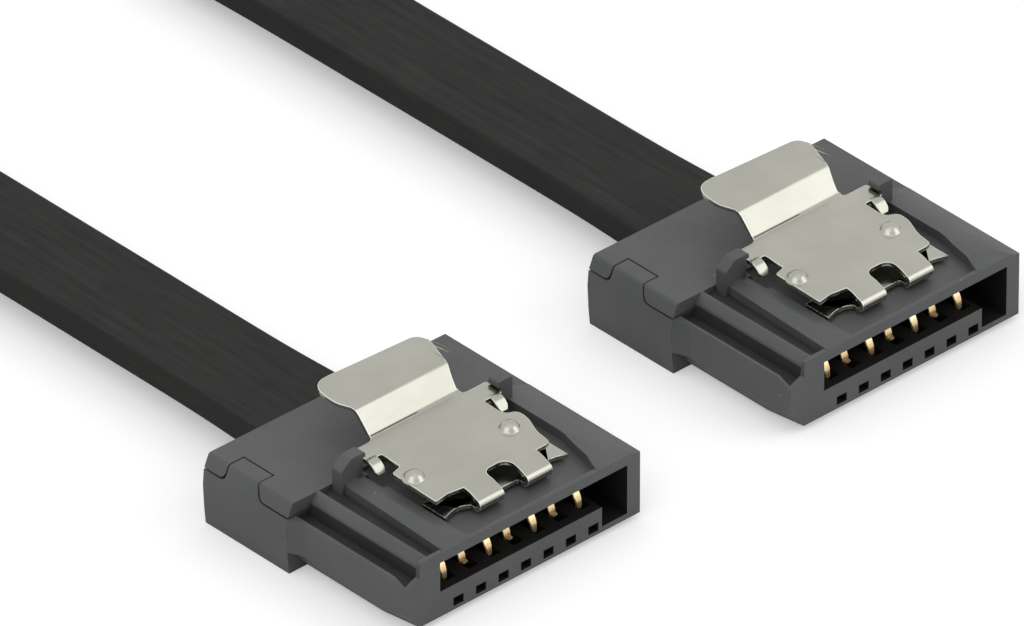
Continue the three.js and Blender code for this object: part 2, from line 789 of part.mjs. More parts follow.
// A path that carries the roll along with the route and keeps the ribbon's underside on its height.
class RibbonPath extends THREE.Curve {
  constructor(rows) {
    super();
    this.track = new THREE.CatmullRomCurve3(rows.map(([x, y, lift]) => new THREE.Vector3(x, y, lift)));
    this.rolls = new THREE.CatmullRomCurve3(rows.map(([x, y, lift, roll]) => new THREE.Vector3(x, y, roll)));
    this.rolls.curveType = 'catmullrom';
    this.track.curveType = 'catmullrom';
  }

  roll(t) {
    return THREE.MathUtils.degToRad(this.rolls.getPoint(t).z);
  }

  getPoint(t, target = new THREE.Vector3()) {
    const roll = this.roll(t);
    const acrossRise = Math.abs(Math.sin(roll)) * ribbonWidth;
    const halfHeight = (acrossRise + Math.abs(Math.cos(roll)) * ribbonThickness) / 2;
    const point = this.track.getPoint(t);
    return target.set(point.x, point.y, Math.max(point.z, 0) + halfHeight);
  }

  computeFrenetFrames(segments) {
    const frames = { tangents: [], normals: [], binormals: [] };
    for (let i = 0; i <= segments; i += 1) {
      const t = this.getUtoTmapping(i / segments);
      const tangent = this.getTangent(t);
      const side = new THREE.Vector3(tangent.y, -tangent.x, 0).normalize();
      const up = new THREE.Vector3().crossVectors(side, tangent).normalize();
      const roll = this.roll(t);
      const across = side.multiplyScalar(Math.cos(roll)).addScaledVector(up, Math.sin(roll)).normalize();
      frames.tangents.push(tangent);
      frames.normals.push(across);
      frames.binormals.push(new THREE.Vector3().crossVectors(tangent, across).normalize());
    }
    return frames;
  }
}

function ribbonGeometry() {
  const halfWidth = ribbonWidth / 2;
  const halfThickness = ribbonThickness / 2;
  const section = shapeOf([
    [-halfWidth, -halfThickness + ribbonEdge],
    [-halfWidth + ribbonEdge, -halfThickness],
    [halfWidth - ribbonEdge, -halfThickness],
    [halfWidth, -halfThickness + ribbonEdge],
    [halfWidth, halfThickness - ribbonEdge],
    [halfWidth - ribbonEdge, halfThickness],
    [-halfWidth + ribbonEdge, halfThickness],
    [-halfWidth, halfThickness - ribbonEdge],
  ]);
  const path = new RibbonPath(ribbonRoute());
  return new THREE.ExtrudeGeometry(section, { extrudePath: path, steps: ribbonSteps });
}

// Finishes
function finish(color, roughness, metalness) {
  return new THREE.MeshStandardMaterial({ color, roughness, metalness });
}

const darkNylon = finish(0x4b4d4e, 0.55, 0);
const springSteel = finish(0xaaaaa2, 0.3, 1);
const goldPlate = finish(0xe6b46e, 0.25, 1);
const coreInsulation = finish(0xd8d4c8, 0.5, 0);
const tinnedWire = finish(0xb9bcc0, 0.35, 1);
const clearResin = finish(0x2b2b2c, 0.6, 0);
const blackJacket = finish(0x2e2e2d, 0.6, 0);

function meshOf(name, solid, material) {
  const { vertProperties, triVerts } = solid.getMesh();
  const geometry = new THREE.BufferGeometry();
  geometry.setAttribute('position', new THREE.BufferAttribute(new Float32Array(vertProperties), 3));
  geometry.setIndex(new THREE.BufferAttribute(new Uint32Array(triVerts), 1));
  const mesh = new THREE.Mesh(geometry, material);
  mesh.name = name;
  return mesh;
}

function plug(side) {
  const group = new THREE.Group();
  group.add(meshOf(`housing_${side}`, housingSolid(), darkNylon));
  group.add(meshOf(`cover_${side}`, coverSolid(), darkNylon));
  group.add(meshOf(`latch_${side}`, latchSolid(), springSteel));
  group.add(meshOf(`clamp_${side}`, clampSolid(), clearResin));
  for (let pin = 1; pin <= contactCount; pin += 1) {
    group.add(meshOf(`contact_${side}${pin}`, contactSolid(pin), goldPlate));
  }
  corePins.forEach((pin, i) => {
    group.add(meshOf(`core_${side}${i + 1}`, wireSolid(pin, coreRadius, corePositions[i]), coreInsulation));
  });
  drainPins.forEach((pin, i) => {
    group.add(meshOf(`drain_${side}${i + 1}`, wireSolid(pin, drainRadius, drainPositions[i]), tinnedWire));
  });
  return group;
}

// The plugs stand side by side, centred together on the frame's origin.
const cable = new THREE.Group();
const plugA = plug('a');
plugA.position.set(plugAX, -plugLength / 2, rearDrop);
const plugB = plug('b');
plugB.position.set(plugAX + plugSpacing, -plugLength / 2, rearDrop);
const ribbon = new THREE.Mesh(ribbonGeometry(), blackJacket);
ribbon.name = 'ribbon';
cable.add(plugA, plugB, ribbon);

export default cable;
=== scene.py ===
"""A flat data cable with a slim latched plug at each end, dressed for a studio picture.

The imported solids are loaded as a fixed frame. The moulded shells keep their solids' shape with rounded edges,
and the latches, the spring contacts and the ribbon are modelled again as folded sheet, formed strip and
extruded jacket. Everything is in metres.
"""

import logging
import math
from dataclasses import dataclass, field
from enum import Enum
from typing import Callable, ClassVar, Iterable, Sequence

import bmesh
import bpy
from mathutils import Matrix, Vector


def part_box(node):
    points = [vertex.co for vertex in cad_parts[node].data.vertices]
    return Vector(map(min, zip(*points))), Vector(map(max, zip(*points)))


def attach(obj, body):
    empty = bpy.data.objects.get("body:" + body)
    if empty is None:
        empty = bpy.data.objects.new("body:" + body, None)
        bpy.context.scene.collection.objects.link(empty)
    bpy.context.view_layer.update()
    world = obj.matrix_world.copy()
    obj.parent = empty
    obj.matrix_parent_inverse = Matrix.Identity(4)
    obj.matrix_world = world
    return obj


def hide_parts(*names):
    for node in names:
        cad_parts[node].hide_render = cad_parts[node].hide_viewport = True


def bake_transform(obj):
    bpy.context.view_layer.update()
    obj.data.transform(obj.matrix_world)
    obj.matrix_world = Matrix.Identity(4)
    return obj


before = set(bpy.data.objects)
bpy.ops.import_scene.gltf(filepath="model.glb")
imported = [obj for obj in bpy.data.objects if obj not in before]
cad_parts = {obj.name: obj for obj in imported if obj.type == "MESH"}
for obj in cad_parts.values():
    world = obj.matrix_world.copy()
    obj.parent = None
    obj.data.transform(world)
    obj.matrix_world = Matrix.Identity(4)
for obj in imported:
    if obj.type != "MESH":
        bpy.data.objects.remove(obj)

MM = 0.001
log = logging.getLogger("data_cable")

Point = tuple[float, float]
Corner = tuple[float, float, float]
Colour = tuple[float, float, float]


class Side(Enum):
    """The two plugs, by the letter their pieces carry."""

    A = "a"
    B = "b"


# Helpers for meshes


def mesh_object(name: str, mesh: bpy.types.Mesh) -> bpy.types.Object:
    """Puts a mesh into the scene.

    Args:
        name: the new object's name.
        mesh: its mesh.

    Returns:
        The new object, linked to the scene.
    """
    piece = bpy.data.objects.new(name, mesh)
    bpy.context.scene.collection.objects.link(piece)
    return piece


def shade_by_angle(mesh: bpy.types.Mesh, degrees: float) -> None:
    """Shades a mesh smooth, with creases where its faces meet at more than an angle.

    The larger faces around a corner count for more, so that a flat face beside a bend looks flat.

    Args:
        mesh: the mesh to shade.
        degrees: the angle from which an edge stays sharp.
    """
    mesh.shade_smooth()
    mesh.set_sharp_from_angle(angle=math.radians(degrees))
    least = math.cos(math.radians(degrees))
    around: list[list[tuple[Vector, float]]] = [[] for _ in mesh.vertices]
    for polygon in mesh.polygons:
        facing = (polygon.normal.copy(), polygon.area)
        for vertex in polygon.vertices:
            around[vertex].append(facing)
    normals = []
    for polygon in mesh.polygons:
        own = polygon.normal.copy()
        for vertex in polygon.vertices:
            near = (normal * area for normal, area in around[vertex] if normal.dot(own) >= least)
            total = sum(near, Vector())
            normals.append(total.normalized() if total.length else own)
    mesh.normals_split_custom_set(normals)


def sweep_faces(ring: int, count: int) -> list[list[int]]:
    """Lists the faces of a closed sweep, its sides first and then its two ends.

    Args:
        ring: how many points its section has.
        count: how many sections there are.

    Returns:
        Each face as vertex numbers.
    """
    faces: list[list[int]] = []
    for i in range(count - 1):
        for k in range(ring):
            a, b = i * ring + k, i * ring + (k + 1) % ring
            faces.append([a, b, b + ring, a + ring])
    faces.append(list(range(ring)))
    faces.append([(count - 1) * ring + k for k in reversed(range(ring))])
    return faces


def direction(azimuth: float, elevation: float) -> Vector:
    """Gives the direction from the plugs to a lamp or a camera, with both angles in degrees."""
    turn, lift = math.radians(azimuth), math.radians(elevation)
    return Vector((math.sin(turn) * math.cos(lift), -math.cos(turn) * math.cos(lift), math.sin(lift)))


def mesh_from(name: str, vertices: Sequence[Vector], faces: Sequence[Sequence[int]]) -> bpy.types.Mesh:
    """Makes a mesh from its vertices and faces.

    Args:
        name: the mesh's name.
        vertices: points in metres.
        faces: lists of vertex numbers.

    Returns:
        The mesh, with its normals facing out.
    """
    mesh = bpy.data.meshes.new(name)
    mesh.from_pydata([tuple(vertex) for vertex in vertices], [], [tuple(face) for face in faces])
    work = bmesh.new()
    work.from_mesh(mesh)
    bmesh.ops.recalc_face_normals(work, faces=work.faces)
    work.to_mesh(mesh)
    work.free()
    return mesh


def arc_corner(before: Point, corner: Point, after: Point, radius: float, steps: int) -> list[Point]:
    """Rounds one corner of an outline.

    Args:
        before: the point before the corner.
        corner: the corner itself.
        after: the point after it.
        radius: how far along each side the rounding starts.
        steps: how many straight pieces it takes.

    Returns:
        The points that take the corner's place.
    """
    if radius <= 0:
        return [corner]
    middle = Vector(corner)
    start = middle + (Vector(before) - middle).normalized() * radius
    end = middle + (Vector(after) - middle).normalized() * radius
    points = []
    for i in range(steps + 1):
        t = i / steps
        point = start * (1 - t) ** 2 + middle * (2 * t * (1 - t)) + end * t ** 2
        points.append((point.x, point.y))
    return points


def rounded_outline(corners: Sequence[Corner], steps: int = 6) -> list[Point]:
    """Rounds the corners of a closed outline.

    Args:
        corners: each corner as u, v and its rounding.
        steps: straight pieces in each rounded corner.

    Returns:
        The outline's points in order.
    """
    points: list[Point] = []
    count = len(corners)
    for i, (u, v, radius) in enumerate(corners):
        before = corners[i - 1][:2]
        after = corners[(i + 1) % count][:2]
        points.extend(arc_corner(before, (u, v), after, radius, steps))
    return points


def swept_band(name: str, line: Sequence[Point], x0: float, x1: float, thickness: float,
               edge: float, taper: Callable[[float], float]) -> bpy.types.Mesh:
    """Sweeps a thin band with rounded edges along a line in the YZ plane.

    Args:
        name: the mesh's name.
        line: y and z of the band's middle, from end to end.
        x0: the band's low side.
        x1: its high side.
        thickness: how thick the band is.
        edge: the rounding of its long edges.
        taper: the band's share of its full width at a share of the line.

    Returns:
        A closed mesh.
    """
    middle = (x0 + x1) / 2
    half = (x1 - x0) / 2
    flat = thickness / 2
    section = [(-1, -flat + edge, 0), (-1, -flat, edge), (1, -flat, -edge), (1, -flat + edge, 0),
               (1, flat - edge, 0), (1, flat, -edge), (-1, flat, edge), (-1, flat - edge, 0)]
    vertices: list[Vector] = []
    last = len(line) - 1
    for i, (y, z) in enumerate(line):
        y0, z0 = line[max(i - 1, 0)]
        y1, z1 = line[min(i + 1, last)]
        along = Vector((y1 - y0, z1 - z0)).normalized()
        width = half * taper(i / last)
        for side, lift, inset in section:
            vertices.append(Vector((middle + side * width + inset, y - along.y * lift, z + along.x * lift)))
    return mesh_from(name, vertices, sweep_faces(len(section), len(line)))


def joined(name: str, meshes: Iterable[bpy.types.Mesh]) -> bpy.types.Mesh:
    """Joins meshes into one.

    Args:
        name: the new mesh's name.
        meshes: the meshes to join, which are used up.

    Returns:
        One mesh that holds them all.
    """
    work = bmesh.new()
    for mesh in meshes:
        work.from_mesh(mesh)
        bpy.data.meshes.remove(mesh)
    whole = bpy.data.meshes.new(name)
    work.to_mesh(whole)
    work.free()
    return whole


def rounded_copy(node: str, name: str, radius: float, crease: float) -> bpy.types.Object:
    """Copies a moulded node's solid and rounds its edges, as a mould leaves them.

    Args:
        node: the node to copy.
        name: the copy's name.
        radius: the rounding of its edges.
        crease: the angle in degrees from which an edge is rounded.

    Returns:
        The new piece, which stands for the node.
    """
    weld, flat, shading = 0.002 * MM, 1, 50
    work = bmesh.new()
    work.from_mesh(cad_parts[node].data)
    bmesh.ops.remove_doubles(work, verts=work.verts, dist=weld)
    bmesh.ops.dissolve_limit(work, angle_limit=math.radians(flat), verts=work.verts, edges=work.edges)
    edges = [edge for edge in work.edges
             if len(edge.link_faces) == 2 and edge.calc_face_angle(0) > math.radians(crease)]
    bmesh.ops.bevel(work, geom=edges, offset=radius, offset_type="OFFSET", segments=2, profile=0.5,
                    affect="EDGES", clamp_overlap=True)
    mesh = bpy.data.meshes.new(name)
    work.to_mesh(mesh)
    work.free()
    shade_by_angle(mesh, shading)
    piece = mesh_object(name, mesh)
    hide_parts(node)
    return piece


# Shader node groups that several finishes share


def group_of(name: str, inputs: Sequence[tuple[str, float]], outputs: Sequence[tuple[str, str]]
             ) -> tuple[bpy.types.NodeTree, bpy.types.Node, bpy.types.Node]:
    """Starts a shader node group with number inputs.

    Args:
        name: the group's name.
        inputs: each input's name and default.
        outputs: each output's name and socket type.

    Returns:
        The group, its input node and its output node.
    """
    group = bpy.data.node_groups.new(name, "ShaderNodeTree")
    for label, value in inputs:
        socket = group.interface.new_socket(name=label, in_out="INPUT", socket_type="NodeSocketFloat")
        socket.default_value = value
    for label, kind in outputs:
        group.interface.new_socket(name=label, in_out="OUTPUT", socket_type=kind)
    return group, group.nodes.new("NodeGroupInput"), group.nodes.new("NodeGroupOutput")


def place_in_mm(tree: bpy.types.NodeTree) -> bpy.types.NodeSocket:
    """Gives the socket of a surface's own coordinates in millimetres."""
    place = tree.nodes.new("ShaderNodeTexCoord")
    scale = tree.nodes.new("ShaderNodeVectorMath")
    scale.operation = "SCALE"
    scale.inputs["Scale"].default_value = 1 / MM
    tree.links.new(place.outputs["Object"], scale.inputs[0])
    return scale.outputs[0]


def maths(tree: bpy.types.NodeTree, operation: str, first: bpy.types.NodeSocket,
          second: bpy.types.NodeSocket | float) -> bpy.types.NodeSocket:
    """Works out a number from a socket and a second socket or a plain number.

    Args:
        tree: the node tree.
        operation: what the node does.
        first: the first number's socket.
        second: the second number or its socket.

    Returns:
        The result's socket.
    """
    node = tree.nodes.new("ShaderNodeMath")
    node.operation = operation
    tree.links.new(first, node.inputs[0])
    if isinstance(second, bpy.types.NodeSocket):
        tree.links.new(second, node.inputs[1])
    else:
        node.inputs[1].default_value = second
    return node.outputs[0]


def surface_grain() -> bpy.types.NodeTree:
    """Builds the fine grain of a moulded or rolled surface.

    Returns:
        A group with a height for bump and a mottle between 0 and 1.
    """
    group, entry, leave = group_of(
        "surface_grain",
        [("Grains per mm", 8.0), ("Patches per mm", 0.5), ("Stretch X", 1.0), ("Stretch Y", 1.0)],
        [("Height", "NodeSocketFloat"), ("Mottle", "NodeSocketFloat")])
    nodes, links = group.nodes, group.links
    place = place_in_mm(group)
    stretch = nodes.new("ShaderNodeCombineXYZ")
    stretch.inputs["Z"].default_value = 1.0
    spread = nodes.new("ShaderNodeVectorMath")
    spread.operation = "MULTIPLY"
    links.new(entry.outputs["Stretch X"], stretch.inputs["X"])
    links.new(entry.outputs["Stretch Y"], stretch.inputs["Y"])
    links.new(place, spread.inputs[0])
    links.new(stretch.outputs[0], spread.inputs[1])
    fine = nodes.new("ShaderNodeTexNoise")
    fine.inputs["Detail"].default_value = 3.0
    broad = nodes.new("ShaderNodeTexNoise")
    broad.inputs["Detail"].default_value = 2.0
    links.new(spread.outputs[0], fine.inputs["Vector"])
    links.new(place, broad.inputs["Vector"])
    links.new(entry.outputs["Grains per mm"], fine.inputs["Scale"])
    links.new(entry.outputs["Patches per mm"], broad.inputs["Scale"])
    links.new(fine.outputs["Fac"], leave.inputs["Height"])
    links.new(broad.outputs["Fac"], leave.inputs["Mottle"])
    return group


def fine_dust() -> bpy.types.NodeTree:
    """Builds sparse pale specks, as dust or tiny scuffs leave them.

    Returns:
        A group with a mask that is 1 on a speck.
    """
    group, entry, leave = group_of("fine_dust", [("Cells per mm", 1.1), ("Speck size", 0.05)],
                                   [("Mask", "NodeSocketFloat")])
    bare_share = 0.72
    nodes, links = group.nodes, group.links
    cells = nodes.new("ShaderNodeTexVoronoi")
    split = nodes.new("ShaderNodeSeparateColor")
    links.new(place_in_mm(group), cells.inputs["Vector"])
    links.new(entry.outputs["Cells per mm"], cells.inputs["Scale"])
    links.new(cells.outputs["Color"], split.inputs["Color"])
    near = maths(group, "LESS_THAN", cells.outputs["Distance"], entry.outputs["Speck size"])
    kept = maths(group, "GREATER_THAN", split.outputs["Red"], bare_share)
    links.new(maths(group, "MULTIPLY", near, kept), leave.inputs["Mask"])
    return group


class SharedGroups:
    """Builds each shared node group once and hands it out by name."""

    makers: dict[str, Callable[[], bpy.types.NodeTree]] = {
        "surface_grain": surface_grain,
        "fine_dust": fine_dust,
    }

    def __init__(self) -> None:
        """Starts with no group built."""
        self.built: dict[str, bpy.types.NodeTree] = {}

    def place(self, tree: bpy.types.NodeTree, name: str, **values: float) -> bpy.types.Node:
        """Places a shared group in a material.

        Args:
            tree: the material's node tree.
            name: the group's name.
            values: its inputs, with spaces written as underscores.

        Returns:
            The group's node.
        """
        if name not in self.built:
            self.built[name] = self.makers[name]()
        node = tree.nodes.new("ShaderNodeGroup")
        node.node_tree = self.built[name]
        for label, value in values.items():
            node.inputs[label.replace("_", " ")].default_value = value
        return node


GROUPS = SharedGroups()


# Finishes


@dataclass(frozen=True)
class Finish:
    """A finish with fine grain, soft mottling and, where wanted, a little dust."""

    grain_range: ClassVar[Point] = (0.3, 0.7)
    mottle_range: ClassVar[Point] = (0.35, 0.65)
    dust_colour: ClassVar[Colour] = (0.45, 0.45, 0.44)

    name: str
    low: Colour
    high: Colour
    metallic: float = 0.0
    rough_low: float = 0.4
    rough_high: float = 0.5
    specular: float = 0.5
    grains: float = 8.0
    patches: float = 0.5
    stretch_x: float = 1.0
    stretch_y: float = 1.0
    bump: float = 0.1
    bump_depth: float = 0.01 * MM
    dust: float = 0.0

    def material(self) -> bpy.types.Material:
        """Makes the finish's material, or finds it if it is made already.

        Returns:
            The material.
        """
        label = f"{self.name}_finish"
        found = bpy.data.materials.get(label)
        if found is not None:
            return found
        material = bpy.data.materials.new(label)
        material.use_nodes = True
        tree = material.node_tree
        shader = tree.nodes["Principled BSDF"]
        shader.inputs["Metallic"].default_value = self.metallic
        shader.inputs["Specular IOR Level"].default_value = self.specular
        grain = GROUPS.place(tree, "surface_grain", Grains_per_mm=self.grains, Patches_per_mm=self.patches,
                             Stretch_X=self.stretch_x, Stretch_Y=self.stretch_y)
        colour = self._blend(tree, grain.outputs["Mottle"])
        if self.dust > 0:
            colour = self._dusted(tree, colour)
        tree.links.new(colour, shader.inputs["Base Color"])
        rough = tree.nodes.new("ShaderNodeMapRange")
        rough.inputs["To Min"].default_value = self.rough_low
        rough.inputs["To Max"].default_value = self.rough_high
        rough.inputs["From Min"].default_value, rough.inputs["From Max"].default_value = self.grain_range
        tree.links.new(grain.outputs["Height"], rough.inputs["Value"])
        tree.links.new(rough.outputs["Result"], shader.inputs["Roughness"])
        bump = tree.nodes.new("ShaderNodeBump")
        bump.inputs["Strength"].default_value = self.bump
        bump.inputs["Distance"].default_value = self.bump_depth
        tree.links.new(grain.outputs["Height"], bump.inputs["Height"])
        tree.links.new(bump.outputs["Normal"], shader.inputs["Normal"])
        return material

    def _blend(self, tree: bpy.types.NodeTree, share: bpy.types.NodeSocket) -> bpy.types.NodeSocket:
        """Blends the finish's two colours by a share from the middle of its range.

        Args:
            tree: the material's node tree.
            share: the socket that holds the share.

        Returns:
            The blended colour's socket.
        """
        ramp = tree.nodes.new("ShaderNodeValToRGB")
        for stop, position, colour in zip(ramp.color_ramp.elements, self.mottle_range, (self.low, self.high)):
            stop.position = position
            stop.color = (*colour, 1)
        tree.links.new(share, ramp.inputs["Fac"])
        return ramp.outputs["Color"]

    def _dusted(self, tree: bpy.types.NodeTree, colour: bpy.types.NodeSocket) -> bpy.types.NodeSocket:
        """Lays dust over a colour.

        Args:
            tree: the material's node tree.
            colour: the clean colour's socket.

        Returns:
            The dusted colour's socket.
        """
        specks = GROUPS.place(tree, "fine_dust")
        mix = tree.nodes.new("ShaderNodeMix")
        mix.data_type = "RGBA"
        mix.inputs["B"].default_value = (*self.dust_colour, 1)
        tree.links.new(maths(tree, "MULTIPLY", specks.outputs["Mask"], self.dust), mix.inputs["Factor"])
        tree.links.new(colour, mix.inputs["A"])
        return mix.outputs["Result"]

    def dress(self, piece: bpy.types.Object) -> None:
        """Adds the finish to a piece's materials."""
        piece.data.materials.append(self.material())


NYLON = Finish("moulded_nylon", low=(0.071, 0.073, 0.074), high=(0.084, 0.086, 0.086), rough_low=0.42,
               rough_high=0.56, grains=9.0, patches=0.35, bump=0.25, bump_depth=0.008 * MM, dust=0.35)
SPRING_STEEL = Finish("spring_steel", low=(0.4, 0.4, 0.35), high=(0.44, 0.44, 0.39), metallic=1.0,
                      rough_low=0.2, rough_high=0.26, grains=7.0, patches=0.35, stretch_x=0.15,
                      bump=0.03, bump_depth=0.004 * MM)
# A much lighter steel for the latch's rounded edges, which paints a highlight along its rims.
STEEL_PAINTED_EDGE_HIGHLIGHT = Finish("steel_painted_edge_highlight", low=(0.78, 0.77, 0.7), high=(0.88, 0.87, 0.8),
                         metallic=1.0, rough_low=0.22, rough_high=0.32, grains=7.0, patches=0.8,
                         bump=0.05, bump_depth=0.004 * MM)
# Near-black nylon for the faces inside the slot: painted shade, darker than the moulding's own colour.
NYLON_PAINTED_SLOT_SHADE = Finish("moulded_nylon_painted_slot_shade", low=(0.009, 0.009, 0.0085), high=(0.012, 0.012, 0.011),
                      rough_low=0.6, rough_high=0.7, specular=0.15, grains=9.0, patches=0.35, bump=0.25,
                      bump_depth=0.008 * MM)
# Darker nylon for the faces in the grooves: painted shade, darker than the moulding's own colour.
NYLON_PAINTED_GROOVE_SHADE = Finish("moulded_nylon_painted_groove_shade", low=(0.026, 0.026, 0.026), high=(0.034, 0.034, 0.034),
                      rough_low=0.5, rough_high=0.6, specular=0.3, grains=9.0, patches=0.35, bump=0.25,
                      bump_depth=0.008 * MM)
GOLD = Finish("gold_plate", low=(0.96, 0.68, 0.36), high=(1.0, 0.78, 0.46), metallic=0.7, rough_low=0.2,
              rough_high=0.3, grains=12.0, bump=0.08, bump_depth=0.003 * MM)
JACKET = Finish("cable_jacket", low=(0.010, 0.010, 0.0092), high=(0.014, 0.014, 0.0128), rough_low=0.5,
                rough_high=0.65, specular=0.2, grains=6.0, patches=0.3, stretch_y=0.08, bump=0.3,
                bump_depth=0.01 * MM)
CORE_INSULATION = Finish("core_insulation", low=(0.66, 0.62, 0.54), high=(0.72, 0.68, 0.6), rough_low=0.35)
TINNED_WIRE = Finish("tinned_wire", low=(0.5, 0.51, 0.53), high=(0.6, 0.61, 0.63), metallic=1.0,
                     rough_low=0.3, rough_high=0.4, stretch_y=0.2)
INNER_RESIN = Finish("inner_resin", low=(0.024, 0.024, 0.024), high=(0.03, 0.03, 0.03), rough_low=0.5,
                     rough_high=0.6)


# The plugs


@dataclass
class FoldedSheet:
    """A stamped blank of sheet steel and the line that it is folded along.

    The blank is flat, with x across and s along the fold line. s is 0 at the plate's front edge, grows
    towards the thumb tab, and is negative round the hairpin and along the lower leaf.
    """

    thickness: float
    edge: float
    behind: list[Point]
    ahead: list[Point]
    line: list[tuple[float, float, float]] = field(default_factory=list)
    # The material slot of the rounded edges, whose lighter steel paints a highlight on them.
    painted_highlight_index: int = 1

    def __post_init__(self) -> None:
        """Measures the fold line from its two halves."""
        back = self._measured(self.behind, 1)
        front = self._measured(self.ahead, -1)
        self.line = list(reversed(front[1:])) + back

    @staticmethod
    def _measured(points: Sequence[Point], sign: int) -> list[tuple[float, float, float]]:
        """Adds the distance from the first point to each point, with a sign."""
        run = 0.0
        rows = [(0.0, *points[0])]
        for (y0, z0), (y1, z1) in zip(points, points[1:]):
            run += math.hypot(y1 - y0, z1 - z0)
            rows.append((sign * run, y1, z1))
        return rows

    def reach(self, y: float, upper: bool = True) -> float:
        """Finds s at a distance from the mating face.

        Args:
            y: the distance.
            upper: whether the plate is meant, and not the leaf under it.

        Returns:
            s there.
        """
        rows = [row for row in self.line if (row[0] >= 0) == upper]
        for (s0, y0, _), (s1, y1, _) in zip(rows, rows[1:]):
            if min(y0, y1) <= y <= max(y0, y1) and y0 != y1:
                return s0 + (s1 - s0) * (y - y0) / (y1 - y0)
        return rows[-1][0] if upper else rows[0][0]

    def bent(self, x: float, s: float) -> tuple[Vector, Vector]:
        """Bends one point of the blank.

        Args:
            x: the point's place across.
            s: its place along the fold line.

        Returns:
            The point in space and the sheet's normal there.
        """
        rows = self.line
        s = min(max(s, rows[0][0]), rows[-1][0])
        k = next((i for i in range(1, len(rows)) if rows[i][0] >= s), len(rows) - 1)
        (s0, y0, z0), (s1, y1, z1) = rows[k - 1], rows[k]
        t = (s - s0) / (s1 - s0)
        chord = Vector((y1 - y0, z1 - z0)).normalized()
        before = rows[max(k - 2, 0)]
        after = rows[min(k + 1, len(rows) - 1)]
        first, last = chord, chord
        if k > 1:
            first = (chord + Vector((y0 - before[1], z0 - before[2])).normalized()).normalized()
        if k < len(rows) - 1:
            last = (chord + Vector((after[1] - y1, after[2] - z1)).normalized()).normalized()
        along = (first * (1 - t) + last * t).normalized()
        return Vector((x, y0 + (y1 - y0) * t, z0 + (z1 - z0) * t)), Vector((0, -along.y, along.x))

    def mesh(self, name: str, outline: Sequence[Point], hole: Sequence[Point]) -> bpy.types.Mesh:
        """Cuts the blank out, folds it and gives it its thickness.

        Args:
            name: the mesh's name.
            outline: the blank's edge as x and s.
            hole: the edge of its opening.

        Returns:
            The folded sheet as a closed mesh with broken edges.
        """
        work = bmesh.new()
        for loop in (outline, hole):
            corners = [work.verts.new((x, s, 0)) for x, s in loop]
            for i, corner in enumerate(corners):
                work.edges.new((corner, corners[(i + 1) % len(corners)]))
        bmesh.ops.triangle_fill(work, use_beauty=True, edges=work.edges)
        for s, _, _ in self.line:
            geom = list(work.verts) + list(work.edges) + list(work.faces)
            bmesh.ops.bisect_plane(work, geom=geom, dist=1e-8, plane_co=(0, s, 0), plane_no=(0, 1, 0))
        bmesh.ops.remove_doubles(work, verts=work.verts, dist=0.001 * MM)
        bmesh.ops.recalc_face_normals(work, faces=work.faces)
        if next(iter(work.faces)).normal.z < 0:
            bmesh.ops.reverse_faces(work, faces=work.faces)
        self._thicken(work)
        mesh = bpy.data.meshes.new(name)
        work.to_mesh(mesh)
        work.free()
        return mesh

    def _thicken(self, work: bmesh.types.BMesh) -> None:
        """Folds a flat blank and closes it into a solid sheet.

        Args:
            work: the flat blank, which becomes the solid.
        """
        under: dict[bmesh.types.BMVert, bmesh.types.BMVert] = {}
        tops = list(work.verts)
        flat_faces = list(work.faces)
        rims = [edge for edge in work.edges if len(edge.link_faces) == 1]
        for vertex in tops:
            point, normal = self.bent(vertex.co.x, vertex.co.y)
            vertex.co = point + normal * (self.thickness / 2)
            under[vertex] = work.verts.new(point - normal * (self.thickness / 2))
        for face in flat_faces:
            work.faces.new([under[vertex] for vertex in reversed(face.verts)])
        for edge in rims:
            loop = edge.link_loops[0]
            a, b = loop.vert, loop.link_loop_next.vert
            work.faces.new([b, a, under[a], under[b]])
        bmesh.ops.recalc_face_normals(work, faces=work.faces)
        work.edges.index_update()
        sharp = [edge for edge in work.edges if edge.calc_face_angle(0) > math.radians(60)
                 and (edge.verts[0] in under) == (edge.verts[1] in under)]
        broken = bmesh.ops.bevel(work, geom=sharp, offset=self.edge, offset_type="OFFSET", segments=2,
                                 profile=0.5, affect="EDGES", clamp_overlap=False)
        # The rounded edge faces take the slot whose lighter steel paints a highlight on them.
        for face in broken["faces"]:
            face.material_index = self.painted_highlight_index


